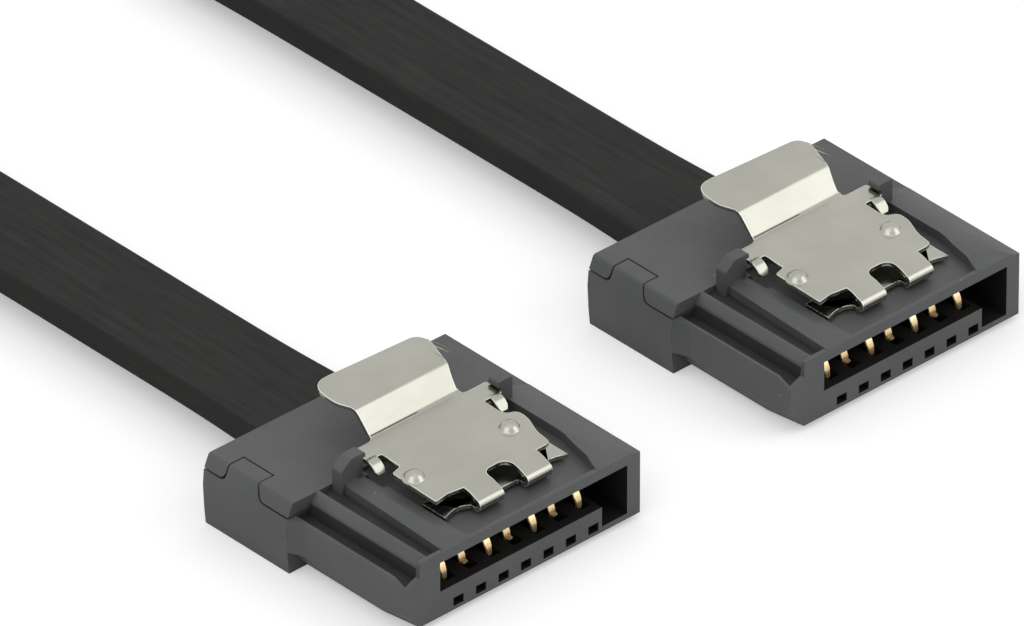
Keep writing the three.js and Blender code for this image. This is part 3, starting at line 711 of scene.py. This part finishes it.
@dataclass
class Latch:
    """The folded latch of one plug, in the plug's own frame."""

    crease: ClassVar[float] = 38
    tight: ClassVar[float] = 0.08 * MM
    small: ClassVar[float] = 0.1 * MM
    soft: ClassVar[float] = 0.12 * MM
    gentle: ClassVar[float] = 0.25 * MM
    wide: ClassVar[float] = 0.3 * MM
    neck_bend: ClassVar[float] = 0.22 * MM
    crease_bend: ClassVar[float] = 0.2 * MM
    bend_steps: ClassVar[int] = 8
    hairpin_steps: ClassVar[int] = 14

    sheet: float = 0.2 * MM
    edge: float = 0.03 * MM
    plate_start: float = 2.08 * MM
    plate_height: float = 3.84 * MM
    plate_rise: float = 0.16 * MM
    half_width: float = 3.6 * MM
    front_half_width: float = 3.1 * MM
    front_y: float = 1.05 * MM
    leaf_height: float = 3.18 * MM
    leaf_front: float = 1.66 * MM
    leaf_end: float = 3.1 * MM
    leaf_half_width: float = 3.47 * MM
    leaf_curve: float = 0.22 * MM
    leaf_curve_run: float = 0.35 * MM
    leaf_corner: float = 0.6 * MM
    bend_height: float = 0.65 * MM
    leg_inner: float = 0.66 * MM
    leg_outer: float = 2.05 * MM
    arch_depth: float = 0.36 * MM
    notch_front: float = 4.85 * MM
    notch_rear: float = 6.05 * MM
    notch_depth: float = 0.58 * MM
    shoulder_width: float = 0.2 * MM
    shoulder_rear: float = 7.05 * MM
    neck_y: float = 7.35 * MM
    neck_half_width: float = 2.5 * MM
    crease_y: float = 8.15 * MM
    crease_height: float = 5.05 * MM
    tab_rear_y: float = 10.25 * MM
    tab_rear_slant: float = 0.3 * MM
    tab_rear_height: float = 5.22 * MM
    tab_half_width: float = 3.0 * MM
    dome_left: float = -3.1 * MM
    dome_right: float = 2.27 * MM
    dome_y: float = 3.95 * MM
    dome_radius: float = 0.47 * MM
    dome_height: float = 0.32 * MM
    side_tab_width: float = 0.56 * MM
    side_tab_inset: float = 0.17 * MM
    side_tab_length: float = 0.5 * MM
    side_tab_shift: float = 0.06 * MM
    side_tab_drop: float = 0.42 * MM
    right_bulge: float = 3.37 * MM
    right_notch: float = 2.79 * MM
    right_flare: float = 2.97 * MM

    def height(self, y: float) -> float:
        """Gives the height of the plate's middle at a distance from the mating face."""
        share = (y - self.plate_start) / (self.shoulder_rear - self.plate_start)
        return self.plate_height + self.plate_rise * share

    def rear_line(self) -> list[Point]:
        """Lists the fold line from the plate's front edge to the end of the thumb tab.

        Returns:
            y and z of each point.
        """
        level_to = self.neck_y - 0.6 * MM
        line = [(y, self.height(y)) for y in (self.plate_start, self.plate_start + 1 * MM, level_to)]
        neck = (self.neck_y, self.height(self.neck_y))
        before = self.plate_rise / (self.shoulder_rear - self.plate_start)
        slope = (self.crease_height - neck[1]) / (self.crease_y - neck[0])
        line += self._bend(neck, before, slope, self.neck_bend)
        top_slope = (self.tab_rear_height - self.crease_height) / (self.tab_rear_y - self.crease_y)
        line += self._bend((self.crease_y, self.crease_height), slope, top_slope, self.crease_bend)
        line.append((self.tab_rear_y - 1 * MM, self.tab_rear_height - top_slope * MM))
        end = self.tab_rear_y + self.tab_rear_slant
        line.append((end, self.tab_rear_height + top_slope * self.tab_rear_slant))
        return line

    def _bend(self, corner: Point, before: float, after: float, length: float) -> list[Point]:
        """Rounds a bend of the fold line.

        Args:
            corner: where the two straight stretches would meet.
            before: the slope before it.
            after: the slope after it.
            length: how far along each stretch the bend starts.

        Returns:
            The bend's points.
        """
        y, z = corner
        a, b = math.atan(before), math.atan(after)
        start = (y - length * math.cos(a), z - length * math.sin(a))
        end = (y + length * math.cos(b), z + length * math.sin(b))
        return arc_corner(start, corner, end, length, self.bend_steps)

    def front_line(self) -> list[Point]:
        """Lists the fold line from the plate's front edge round the hairpin to the end of the leaf.

        Returns:
            y and z of each point.
        """
        radius = (self.bend_height - self.sheet) / 2
        bend_y = self.front_y + radius + self.sheet / 2
        bend_z = self.leaf_height + radius
        start = (self.plate_start, self.height(self.plate_start))
        top = (bend_y, bend_z + radius)
        lead, dip, easing, steps = 0.32 * MM, 0.02 * MM, 0.3 * MM, 5
        line = arc_corner(start, (start[0] - lead, start[1] - dip), top, easing, steps)
        line[0] = start
        for i in range(1, self.hairpin_steps + 1):
            angle = math.pi * (0.5 + i / self.hairpin_steps)
            line.append((bend_y + radius * math.cos(angle), bend_z + radius * math.sin(angle)))
        line += [(self.leaf_front, self.leaf_height), (self.leaf_end, self.leaf_height)]
        return line

    def mesh(self, name: str) -> bpy.types.Mesh:
        """Builds the latch: the folded sheet, its two domes and its two side tabs.

        Args:
            name: the mesh's name.

        Returns:
            The latch's mesh in the plug's frame.
        """
        blank = FoldedSheet(self.sheet, self.edge, self.rear_line(), self.front_line())
        sheet = blank.mesh(f"{name}_sheet", self.outline(blank), self.window(blank))
        parts = [sheet]
        parts += [self.dome(x) for x in (self.dome_left, self.dome_right)]
        parts += [self.side_tab(side) for side in (-1, 1)]
        whole = joined(name, parts)
        shade_by_angle(whole, self.crease)
        return whole

    def outline(self, blank: FoldedSheet) -> list[Point]:
        """Draws the blank's edge, from the left leg round by the tab to the right leg and the leaf.

        Args:
            blank: the sheet, which turns distances into places along the fold line.

        Returns:
            The edge's points as x and s.
        """
        side, rear, start = self.half_width, self.tab_rear_y, self.plate_start
        notch = side - self.notch_depth
        ear = side + self.shoulder_width
        plan = [
            (-self.leg_outer, start, self.tight),
            (-self.front_half_width + 0.3 * MM, start + 0.12 * MM, self.small),
            (-side, start, self.soft),
            (-side, self.notch_front - 0.08 * MM, self.soft),
            (-notch, self.notch_front + 0.08 * MM, self.small),
            (-notch, self.notch_rear, self.tight),
            (-ear, self.notch_rear, self.tight),
            (-ear, self.shoulder_rear, self.soft),
            (-self.neck_half_width, self.shoulder_rear, 0.45 * MM),
            (-self.neck_half_width - 0.12 * MM, self.crease_y, self.wide),
            (-self.tab_half_width, self.crease_y + 0.75 * MM, self.wide),
            (-self.tab_half_width, rear + self.tab_rear_slant, 1.0 * MM),
            (self.tab_half_width - 0.2 * MM, rear, 0.45 * MM),
            (self.tab_half_width, rear - 0.65 * MM, self.gentle),
            (self.neck_half_width + 0.12 * MM, self.crease_y + 0.2 * MM, 0.5 * MM),
            (self.neck_half_width - 0.08 * MM, self.neck_y + 0.2 * MM, self.wide),
            (self.neck_half_width, self.shoulder_rear, self.gentle),
            (ear, self.shoulder_rear, self.soft),
            (ear, self.notch_rear, self.tight),
            (self.right_notch, self.notch_rear, self.tight),
            (self.right_notch, self.notch_front + 0.3 * MM, self.soft),
            (self.right_notch + 0.1 * MM, self.notch_front - 0.01 * MM, self.soft),
            (self.right_bulge, self.notch_front - 0.23 * MM, self.gentle),
            (self.right_bulge, start + 1.92 * MM, self.wide),
            (self.right_flare, start + 0.92 * MM, self.gentle),
            (self.right_flare - 0.08 * MM, start + 0.1 * MM, 0.15 * MM),
            (self.right_flare - 0.3 * MM, start, self.small),
            (self.leg_outer, start, self.tight),
        ]
        upper = [(x, blank.reach(y)) for x, y in self._rounded(plan)]
        leaf = self._leaf(blank)
        return upper + leaf + [(-x, s) for x, s in reversed(leaf[:-1])]

    def _leaf(self, blank: FoldedSheet) -> list[Point]:
        """Draws the right half of the lower leaf, from the right leg to its middle."""
        front, waist, end = (blank.reach(y, upper=False) for y in (
            self.leaf_front, self.leaf_front + self.leaf_curve, self.leaf_end))
        half = self.leaf_half_width
        return self._rounded([
            (self.leg_outer, front, 0.0),
            (self.leg_outer + self.leaf_curve_run, waist, self.gentle),
            (half - self.leaf_corner, waist, self.gentle),
            (half, front, 0.02 * MM),
            (half, end, 0.05 * MM),
            (0.0, end, 0.0),
        ])

    @staticmethod
    def _rounded(plan: Sequence[Corner]) -> list[Point]:
        """Rounds the plan's corners, leaving its first and last points as they are."""
        points: list[Point] = [plan[0][:2]]
        for before, here, after in zip(plan, plan[1:], plan[2:]):
            points.extend(arc_corner(before[:2], here[:2], after[:2], here[2], 6))
        points.append(plan[-1][:2])
        return points

    def window(self, blank: FoldedSheet) -> list[Point]:
        """Draws the opening between the two legs.

        Args:
            blank: the sheet, which turns distances into places along the fold line.

        Returns:
            The opening's edge as x and s.
        """
        low = blank.reach(self.leaf_front + 0.05 * MM, upper=False)
        high = blank.reach(self.plate_start + self.arch_depth)
        inner = self.leg_inner
        arch = 0.5 * MM
        corners = [(-inner, low, self.soft), (inner, low, self.soft),
                   (inner, high, arch), (-inner, high, arch)]
        return rounded_outline(corners, steps=8)

    def dome(self, x: float) -> bpy.types.Mesh:
        """Presses one catch dome up out of the plate.

        Args:
            x: the dome's place across the plate.

        Returns:
            The dome's skin, down to just under the plate's face.
        """
        rings, spokes = 9, 32
        radius, rise = self.dome_radius, self.dome_height
        ball = (radius ** 2 + rise ** 2) / (2 * rise)
        sweep = math.asin(min(radius / ball, 1))
        profile = [(ball * math.sin(sweep * i / rings), rise - ball * (1 - math.cos(sweep * i / rings)))
                   for i in range(1, rings + 1)]
        foot_rise = 0.035 * MM
        skirt = ((0.03, 0.012), (0.09, 0.002), (0.1, -0.02))
        profile[-1] = (radius, foot_rise)
        profile += [(radius + out * MM, lift * MM) for out, lift in skirt]
        top = self.height(self.dome_y) + self.sheet / 2
        tilt = self.plate_rise / (self.shoulder_rear - self.plate_start)
        vertices = [Vector((x, self.dome_y, top + rise))]
        faces: list[list[int]] = []
        for r, z in profile:
            for k in range(spokes):
                angle = 2 * math.pi * k / spokes
                y = r * math.sin(angle)
                vertices.append(Vector((x + r * math.cos(angle), self.dome_y + y, top + z + tilt * y)))
        for k in range(spokes):
            after = (k + 1) % spokes
            faces.append([0, 1 + k, 1 + after])
            for i in range(len(profile) - 1):
                a, b = 1 + i * spokes + k, 1 + i * spokes + after
                faces.append([a, a + spokes, b + spokes, b])
        return mesh_from("dome", vertices, faces)

    def side_tab(self, side: int) -> bpy.types.Mesh:
        """Bends one side tab down from the rear of its notch.

        Args:
            side: -1 for the left tab, 1 for the right one.

        Returns:
            The tab's mesh.
        """
        inner = self.half_width - self.notch_depth + self.side_tab_inset
        outer = inner + self.side_tab_width
        x0, x1 = sorted((side * inner - self.side_tab_shift, side * outer - self.side_tab_shift))
        overlap, steps, tip_start, tip_narrowing = 0.15 * MM, 10, 0.8, 0.35
        root = self.notch_rear + overlap
        line = [(root, self.height(root))]
        for i in range(steps + 1):
            share = i / steps
            y = self.notch_rear - self.side_tab_length * share
            line.append((y, self.height(self.notch_rear) - self.side_tab_drop * share ** 2))

        def taper(share: float) -> float:
            """Narrows the tab near its tip."""
            past = max(0.0, (share - tip_start) / (1 - tip_start))
            return 1 - tip_narrowing * past ** 2

        return swept_band("side_tab", line, x0, x1, self.sheet, self.edge, taper)


@dataclass
class SpringContact:
    """One gold plated contact, in the plug's own frame."""

    pin: int
    first_x: float = -4.255 * MM
    pitch: float = 1.27 * MM
    width: float = 0.36 * MM
    thickness: float = 0.15 * MM
    tip_y: float = 0.9 * MM
    even_set_back: float = 0.25 * MM
    tip_height: float = 1.0 * MM
    crown_height: float = 2.2 * MM
    crown_behind_tip: float = 1.3 * MM
    lip_rise: float = 0.22 * MM
    lip_reach: float = 0.16 * MM
    bend_y: float = 5.0 * MM
    bend_length: float = 1.2 * MM
    bend_rise: float = 0.12 * MM
    tail_height: float = 0.9 * MM
    tail_end: float = 8.1 * MM
    edge: float = 0.03 * MM
    tip_width: float = 0.72
    tip_length: float = 0.12
    crease: float = 45
    steps: int = 12

    def line(self) -> list[Point]:
        """Lists the contact's middle line from its tip to its tail.

        Returns:
            y and z of each point.
        """
        even = self.pin % 2 == 0
        tip = self.tip_y + (self.even_set_back if even else 0)
        rise = self.crown_height - self.tip_height
        points: list[Point] = []
        if even:
            points.append((tip - self.lip_reach, self.tip_height + self.lip_rise))
            points.append((tip - self.lip_reach * 0.4, self.tip_height + self.lip_rise * 0.3))
        for i in range(self.steps + 1):
            angle = i / self.steps * math.pi / 2
            points.append((tip + self.crown_behind_tip * (1 - math.cos(angle)),
                           self.tip_height + rise * math.sin(angle)))
        crown = tip + self.crown_behind_tip
        low = self.tail_height + self.bend_rise
        for i in range(1, self.steps + 1):
            share = i / self.steps
            ease = share * share * (3 - 2 * share)
            points.append((crown + (self.bend_y - crown) * share,
                           self.crown_height + (low - self.crown_height) * ease))
        points += [(self.bend_y + self.bend_length / 2, self.tail_height), (self.tail_end, self.tail_height)]
        return points

    def mesh(self, name: str) -> bpy.types.Mesh:
        """Builds the contact.

        Args:
            name: the mesh's name.

        Returns:
            The contact's mesh in the plug's frame.
        """
        x = self.first_x + (self.pin - 1) * self.pitch
        half = self.width / 2
        mesh = swept_band(name, self.line(), x - half, x + half, self.thickness, self.edge, self._taper)
        shade_by_angle(mesh, self.crease)
        return mesh

    def _taper(self, share: float) -> float:
        """Gives the strip's share of its full width, which grows from the tip."""
        return self.tip_width + (1 - self.tip_width) * min(share / self.tip_length, 1.0)


class Plug:
    """One plug with its shell, latch, contacts and inner pieces."""

    contact_count = 7
    core_count = 4
    drain_count = 3
    nose_right = 6.155 * MM
    rear_drop = 0.31 * MM
    edge_round = 0.05 * MM
    rounded_from = 25
    # The next three boxes mark where faces get painted shade: the slot's inside and two grooves on the nose's
    # left.
    inside_low = Vector((-5.3, 0.03, 0.17)) * MM
    inside_high = Vector((5.3, 6.5, 2.72)) * MM
    groove_low = Vector((-5.8, 0.2, 2.05)) * MM
    groove_high = Vector((-4.83, 6.95, 3.07)) * MM
    side_groove_low = Vector((-7.07, 0.2, 2.05)) * MM
    side_groove_high = Vector((-6.24, 6.95, 2.7)) * MM

    def __init__(self, side: Side) -> None:
        """Finds where the plug stands.

        Args:
            side: which of the two plugs it is.
        """
        self.letter = side.value
        low, high = (Vector(corner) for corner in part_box(f"housing_{self.letter}"))
        self.origin = Vector((high.x - self.nose_right, low.y, low.z + self.rear_drop))

    def build(self) -> None:
        """Builds and dresses every piece of the plug."""
        self.shell()
        self.latch()
        self.contacts()
        self.inner_pieces()

    def _settle(self, piece: bpy.types.Object, body: str, finish: Finish) -> None:
        """Puts a new piece on its body and gives it its finish.

        Args:
            piece: the piece.
            body: the body that it rides on.
            finish: its finish.
        """
        if body:
            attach(piece, body)
        finish.dress(piece)
        log.info("%s: %d faces", piece.name, len(piece.data.polygons))

    def shell(self) -> None:
        """Rounds and dresses the housing and its cover, and paints shade on the slot's inside and the grooves.
        """
        for part in ("housing", "cover"):
            name = f"{part}_{self.letter}"
            piece = rounded_copy(name, f"{name}_moulding", self.edge_round, self.rounded_from)
            self._settle(piece, "root", NYLON)
            # The slot's inside and the two grooves get darker finishes: painted shade.
            self._paint_shade(piece, NYLON_PAINTED_SLOT_SHADE, self.inside_low, self.inside_high)
            self._paint_shade(piece, NYLON_PAINTED_GROOVE_SHADE, self.groove_low, self.groove_high)
            self._paint_shade(piece, NYLON_PAINTED_GROOVE_SHADE, self.side_groove_low, self.side_groove_high)

    def _paint_shade(self, piece: bpy.types.Object, finish: Finish, low: Vector, high: Vector) -> None:
        """Gives the faces in a box of the plug's frame a darker finish, which paints shade on them.

        Args:
            piece: the moulding.
            finish: the darker finish for those faces, which stands in for shade.
            low: the box's lowest corner.
            high: its highest corner.
        """
        piece.data.materials.append(finish.material())
        index = len(piece.data.materials) - 1
        for polygon in piece.data.polygons:
            place = polygon.center - self.origin
            if all(low[axis] < place[axis] < high[axis] for axis in range(3)):
                polygon.material_index = index

    def latch(self) -> None:
        """Builds the latch, a folded sheet whose leaf lies under its plate."""
        latch = Latch()
        name = f"latch_{self.letter}"
        mesh = latch.mesh(f"{name}_folded")
        mesh.transform(self._shift())
        piece = mesh_object(f"{name}_folded", mesh)
        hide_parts(name)
        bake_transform(piece)
        self._settle(piece, "", SPRING_STEEL)
        # Second material: a lighter steel that paints a highlight on the latch's rounded edges.
        piece.data.materials.append(STEEL_PAINTED_EDGE_HIGHLIGHT.material())

    def contacts(self) -> None:
        """Builds the seven spring contacts."""
        for pin in range(1, self.contact_count + 1):
            name = f"contact_{self.letter}{pin}"
            mesh = SpringContact(pin).mesh(f"{name}_formed")
            mesh.transform(self._shift())
            piece = mesh_object(f"{name}_formed", mesh)
            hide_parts(name)
            self._settle(piece, "root", GOLD)

    def inner_pieces(self) -> None:
        """Dresses the wires and the clamp that the shell hides."""
        finishes = {f"core_{self.letter}{i}": CORE_INSULATION for i in range(1, self.core_count + 1)}
        finishes |= {f"drain_{self.letter}{i}": TINNED_WIRE for i in range(1, self.drain_count + 1)}
        finishes[f"clamp_{self.letter}"] = INNER_RESIN
        for name, finish in finishes.items():
            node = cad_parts[name]
            for holder in node.material_slots:
                holder.material = finish.material()

    def _shift(self) -> Matrix:
        """Gives the matrix from the plug's own frame to the scene's."""
        return Matrix.Translation(self.origin)


# The ribbon


class Ribbon:
    """The flat jacketed cable between the two plugs."""

    width = 5.3 * MM
    thickness = 1.25 * MM
    edge = 0.3 * MM
    offset = -0.82 * MM
    inside = 1.08 * MM
    lift = 1.01 * MM
    ridge = 0.012 * MM
    flare = 0.2 * MM
    flare_length = 3.5 * MM
    ridge_count = 7
    points_per_ridge = 6
    corner_steps = 8
    crease = 50
    steps_per_row = 16
    half_route = (
        (0, None, 1.01, 0), (0, 14, 1.01, 0), (0, 24, 1.01, 0), (0, 33, 0.96, 0), (0, 42, 0.62, 0),
        (0, 52, 0.18, 0), (0, 66, 0, 0), (0, 84, 0, 0), (0.04, 98.2, 0, 12), (0.26, 109.2, 0, 40),
        (0.76, 120.2, 0, 72), (1.1, 130.2, 0, 88), (0.1, 139.4, 0, 90), (-4.5, 146.2, 0, 90),
    )
    loop_end = 148.8

    def __init__(self, first: Plug, second: Plug) -> None:
        """Lays the route out between two plugs.

        Args:
            first: the plug that the route starts in.
            second: the plug that it ends in.
        """
        self.start_x = first.origin.x + self.offset
        self.end_x = second.origin.x + self.offset
        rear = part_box("housing_a")[1][1]
        self.rear_y = rear
        self.start_y = rear - self.inside

    def rows(self) -> list[tuple[float, float, float, float]]:
        """Lists the route from plug to plug.

        Returns:
            x, y, the underside's height and the roll in degrees of each row.
        """
        first, second = [], []
        for out, y, lift, roll in self.half_route:
            y = self.start_y if y is None else y * MM
            first.append((self.start_x - out * MM, y, lift * MM, float(roll)))
            second.append((self.end_x + out * MM, y, lift * MM, 180.0 - roll))
        middle = ((self.start_x + self.end_x) / 2, self.loop_end * MM, 0.0, 90.0)
        return first + [middle] + second[::-1]

    @staticmethod
    def _between(a: float, b: float, c: float, d: float, t: float) -> float:
        """Gives a smooth value between b and c at a share t."""
        first, last = (c - a) / 2, (d - b) / 2
        square, cube = t * t, t * t * t
        return (b + first * t + (3 * (c - b) - 2 * first - last) * square
                + (2 * (b - c) + first + last) * cube)

    def stations(self) -> list[tuple[Vector, float]]:
        """Walks the route finely.

        Returns:
            The ribbon's middle and its roll in radians at each station.
        """
        rows = self.rows()
        ends = [tuple(2 * p - q for p, q in zip(rows[0], rows[1])),
                tuple(2 * p - q for p, q in zip(rows[-1], rows[-2]))]
        padded = [ends[0], *rows, ends[1]]
        stations = []
        for i in range(len(rows) - 1):
            count = self.steps_per_row + (1 if i == len(rows) - 2 else 0)
            for k in range(count):
                t = k / self.steps_per_row
                quad = zip(*padded[i:i + 4])
                x, y, lift, roll = (self._between(a, b, c, d, t) for a, b, c, d in quad)
                angle = math.radians(roll)
                half = (abs(math.sin(angle)) * self.width + abs(math.cos(angle)) * self.thickness) / 2
                stations.append((Vector((x, y, max(lift, 0) + half)), angle))
        return stations

    def section(self) -> list[Point]:
        """Draws the jacket's section, with a faint ridge over each conductor.

        Returns:
            Points across and up.
        """
        half_w, half_t = self.width / 2, self.thickness / 2
        flat = half_w - self.edge
        top: list[Point] = []
        count = self.ridge_count * self.points_per_ridge
        for i in range(count + 1):
            u = -flat + 2 * flat * i / count
            wave = math.cos(2 * math.pi * self.ridge_count * i / count)
            top.append((u, half_t - self.ridge * (0.5 + 0.5 * wave)))
        corner: list[Point] = []
        rise = self.edge - self.ridge * 0.2
        for i in range(1, self.corner_steps):
            angle = math.pi / 2 * (1 - i / self.corner_steps)
            corner.append((flat + self.edge * math.cos(angle), half_t - self.edge + rise * math.sin(angle)))
        right = corner + [(u, -v) for u, v in reversed(corner)]
        left = [(-u, -v) for u, v in right]
        return top + right + [(u, -v) for u, v in reversed(top)] + left

    def _flare(self, y: float) -> float:
        """Gives how much further each edge stands out near a plug, at a distance along Y."""
        behind = max(y - self.rear_y, 0.0)
        return self.flare * math.exp(-(behind / self.flare_length) ** 2)

    def build(self) -> None:
        stations = self.stations()
        section = self.section()
        vertices: list[Vector] = []
        last = len(stations) - 1
        for i, (centre, roll) in enumerate(stations):
            along = (stations[min(i + 1, last)][0] - stations[max(i - 1, 0)][0]).normalized()
            side = Vector((along.y, -along.x, 0)).normalized()
            up = side.cross(along).normalized()
            across = (side * math.cos(roll) + up * math.sin(roll)).normalized()
            over = across.cross(along).normalized()
            wider = 1 + self._flare(centre.y) / (self.width / 2)
            vertices.extend(centre + across * (u * wider) + over * v for u, v in section)
        mesh = mesh_from("ribbon_jacket", vertices, sweep_faces(len(section), len(stations)))
        shade_by_angle(mesh, self.crease)
        piece = mesh_object("ribbon_jacket", mesh)
        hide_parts("ribbon")
        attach(piece, "root")
        JACKET.dress(piece)


# The studio


@dataclass
class Softbox:
    """A soft square lamp that looks at the plugs."""

    name: str
    azimuth: float
    elevation: float
    distance: float
    size: float
    power: float

    def place(self, target: Vector) -> None:
        """Hangs the lamp.

        Args:
            target: the point that it looks at.
        """
        light = bpy.data.lights.new(self.name, "AREA")
        light.shape = "SQUARE"
        light.size = self.size
        light.energy = self.power
        lamp = bpy.data.objects.new(self.name, light)
        bpy.context.scene.collection.objects.link(lamp)
        back = direction(self.azimuth, self.elevation)
        lamp.location = target + back * self.distance
        lamp.rotation_mode = "QUATERNION"
        lamp.rotation_quaternion = back.to_track_quat("Z", "Y")


@dataclass
class Studio:
    """The pale floor, the soft light, the white background and the camera."""

    target: Vector = field(default_factory=lambda: Vector((0.7, 0.0, 1.5)) * MM)
    azimuth: float = -42.79
    elevation: float = 33.89
    distance: float = 1.0
    pixels_per_mm: float = 23.884
    image_width: int = 1024
    target_right: float = 115.0
    target_down: float = 71.2
    ambient: float = 0.66
    floor_glow: float = 0.34
    lamps: tuple[Softbox, ...] = (
        Softbox("front_softbox", 40, 33, 0.5, 0.35, 0.45),
        Softbox("left_softbox", -80, 45, 0.5, 0.4, 0.4),
        Softbox("top_softbox", -10, 80, 0.5, 0.4, 0.1),
    )

    def build(self) -> None:
        """Sets up everything round the object."""
        self.camera()
        self.floor()
        self.world()
        for lamp in self.lamps:
            lamp.place(self.target)
        bpy.context.scene.view_settings.view_transform = "Standard"

    def camera(self) -> None:
        """Places a long lens at the photograph's viewing angle."""
        turn = math.radians(self.azimuth)
        back = direction(self.azimuth, self.elevation)
        right = Vector((math.cos(turn), math.sin(turn), 0))
        up = back.cross(right)
        data = bpy.data.cameras.new("camera")
        data.sensor_width = 36.0
        focal_pixels = self.pixels_per_mm / MM * self.distance
        data.lens = data.sensor_width * focal_pixels / self.image_width
        data.clip_start = 0.01
        data.clip_end = 20.0
        camera = bpy.data.objects.new("camera", data)
        bpy.context.scene.collection.objects.link(camera)
        shift_right = self.target_right / self.pixels_per_mm * MM
        shift_down = self.target_down / self.pixels_per_mm * MM
        camera.location = self.target + back * self.distance - right * shift_right + up * shift_down
        camera.rotation_mode = "QUATERNION"
        camera.rotation_quaternion = back.to_track_quat("Z", "Y")
        bpy.context.scene.camera = camera

    def floor(self) -> None:
        """Lays a plain white floor that keeps the object's shadow."""
        half, grey = 1.5, 0.86
        corners = [Vector((x * half, y * half, 0)) for x, y in ((-1, -1), (1, -1), (1, 1), (-1, 1))]
        mesh = mesh_from("floor", corners, [[0, 1, 2, 3]])
        floor = mesh_object("floor", mesh)
        material = bpy.data.materials.new("pale_floor")
        material.use_nodes = True
        tree = material.node_tree
        shader = tree.nodes["Principled BSDF"]
        shader.inputs["Base Color"].default_value = (grey, grey, grey, 1)
        shader.inputs["Roughness"].default_value = 0.9
        shader.inputs["Specular IOR Level"].default_value = 0.1
        glow = tree.nodes.new("ShaderNodeEmission")
        add = tree.nodes.new("ShaderNodeAddShader")
        rays = tree.nodes.new("ShaderNodeLightPath")
        strength = maths(tree, "MULTIPLY", rays.outputs["Is Camera Ray"], self.floor_glow)
        tree.links.new(strength, glow.inputs["Strength"])
        tree.links.new(shader.outputs[0], add.inputs[0])
        tree.links.new(glow.outputs[0], add.inputs[1])
        tree.links.new(add.outputs[0], tree.nodes["Material Output"].inputs["Surface"])
        mesh.materials.append(material)

    def world(self) -> None:
        """Lights the scene evenly and shows white to the camera and in reflections."""
        world = bpy.data.worlds.new("studio")
        world.use_nodes = True
        bpy.context.scene.world = world
        tree = world.node_tree
        background = tree.nodes["Background"]
        background.inputs["Color"].default_value = (1, 1, 1, 1)
        rays = tree.nodes.new("ShaderNodeLightPath")
        seen = maths(tree, "MAXIMUM", rays.outputs["Is Camera Ray"], rays.outputs["Is Glossy Ray"])
        through = maths(tree, "MAXIMUM", seen, rays.outputs["Is Transmission Ray"])
        level = tree.nodes.new("ShaderNodeMapRange")
        level.inputs["To Min"].default_value = self.ambient
        level.inputs["To Max"].default_value = 1.0
        tree.links.new(through, level.inputs["Value"])
        tree.links.new(level.outputs["Result"], background.inputs["Strength"])


def main() -> None:
    """Builds the scene in order."""
    logging.basicConfig(level=logging.INFO, format="%(message)s")
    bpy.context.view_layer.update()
    Studio().build()
    plugs = [Plug(side) for side in Side]
    Ribbon(*plugs).build()
    for plug in plugs:
        plug.build()
    bpy.context.view_layer.update()


if __name__ == "__main__":
    main()
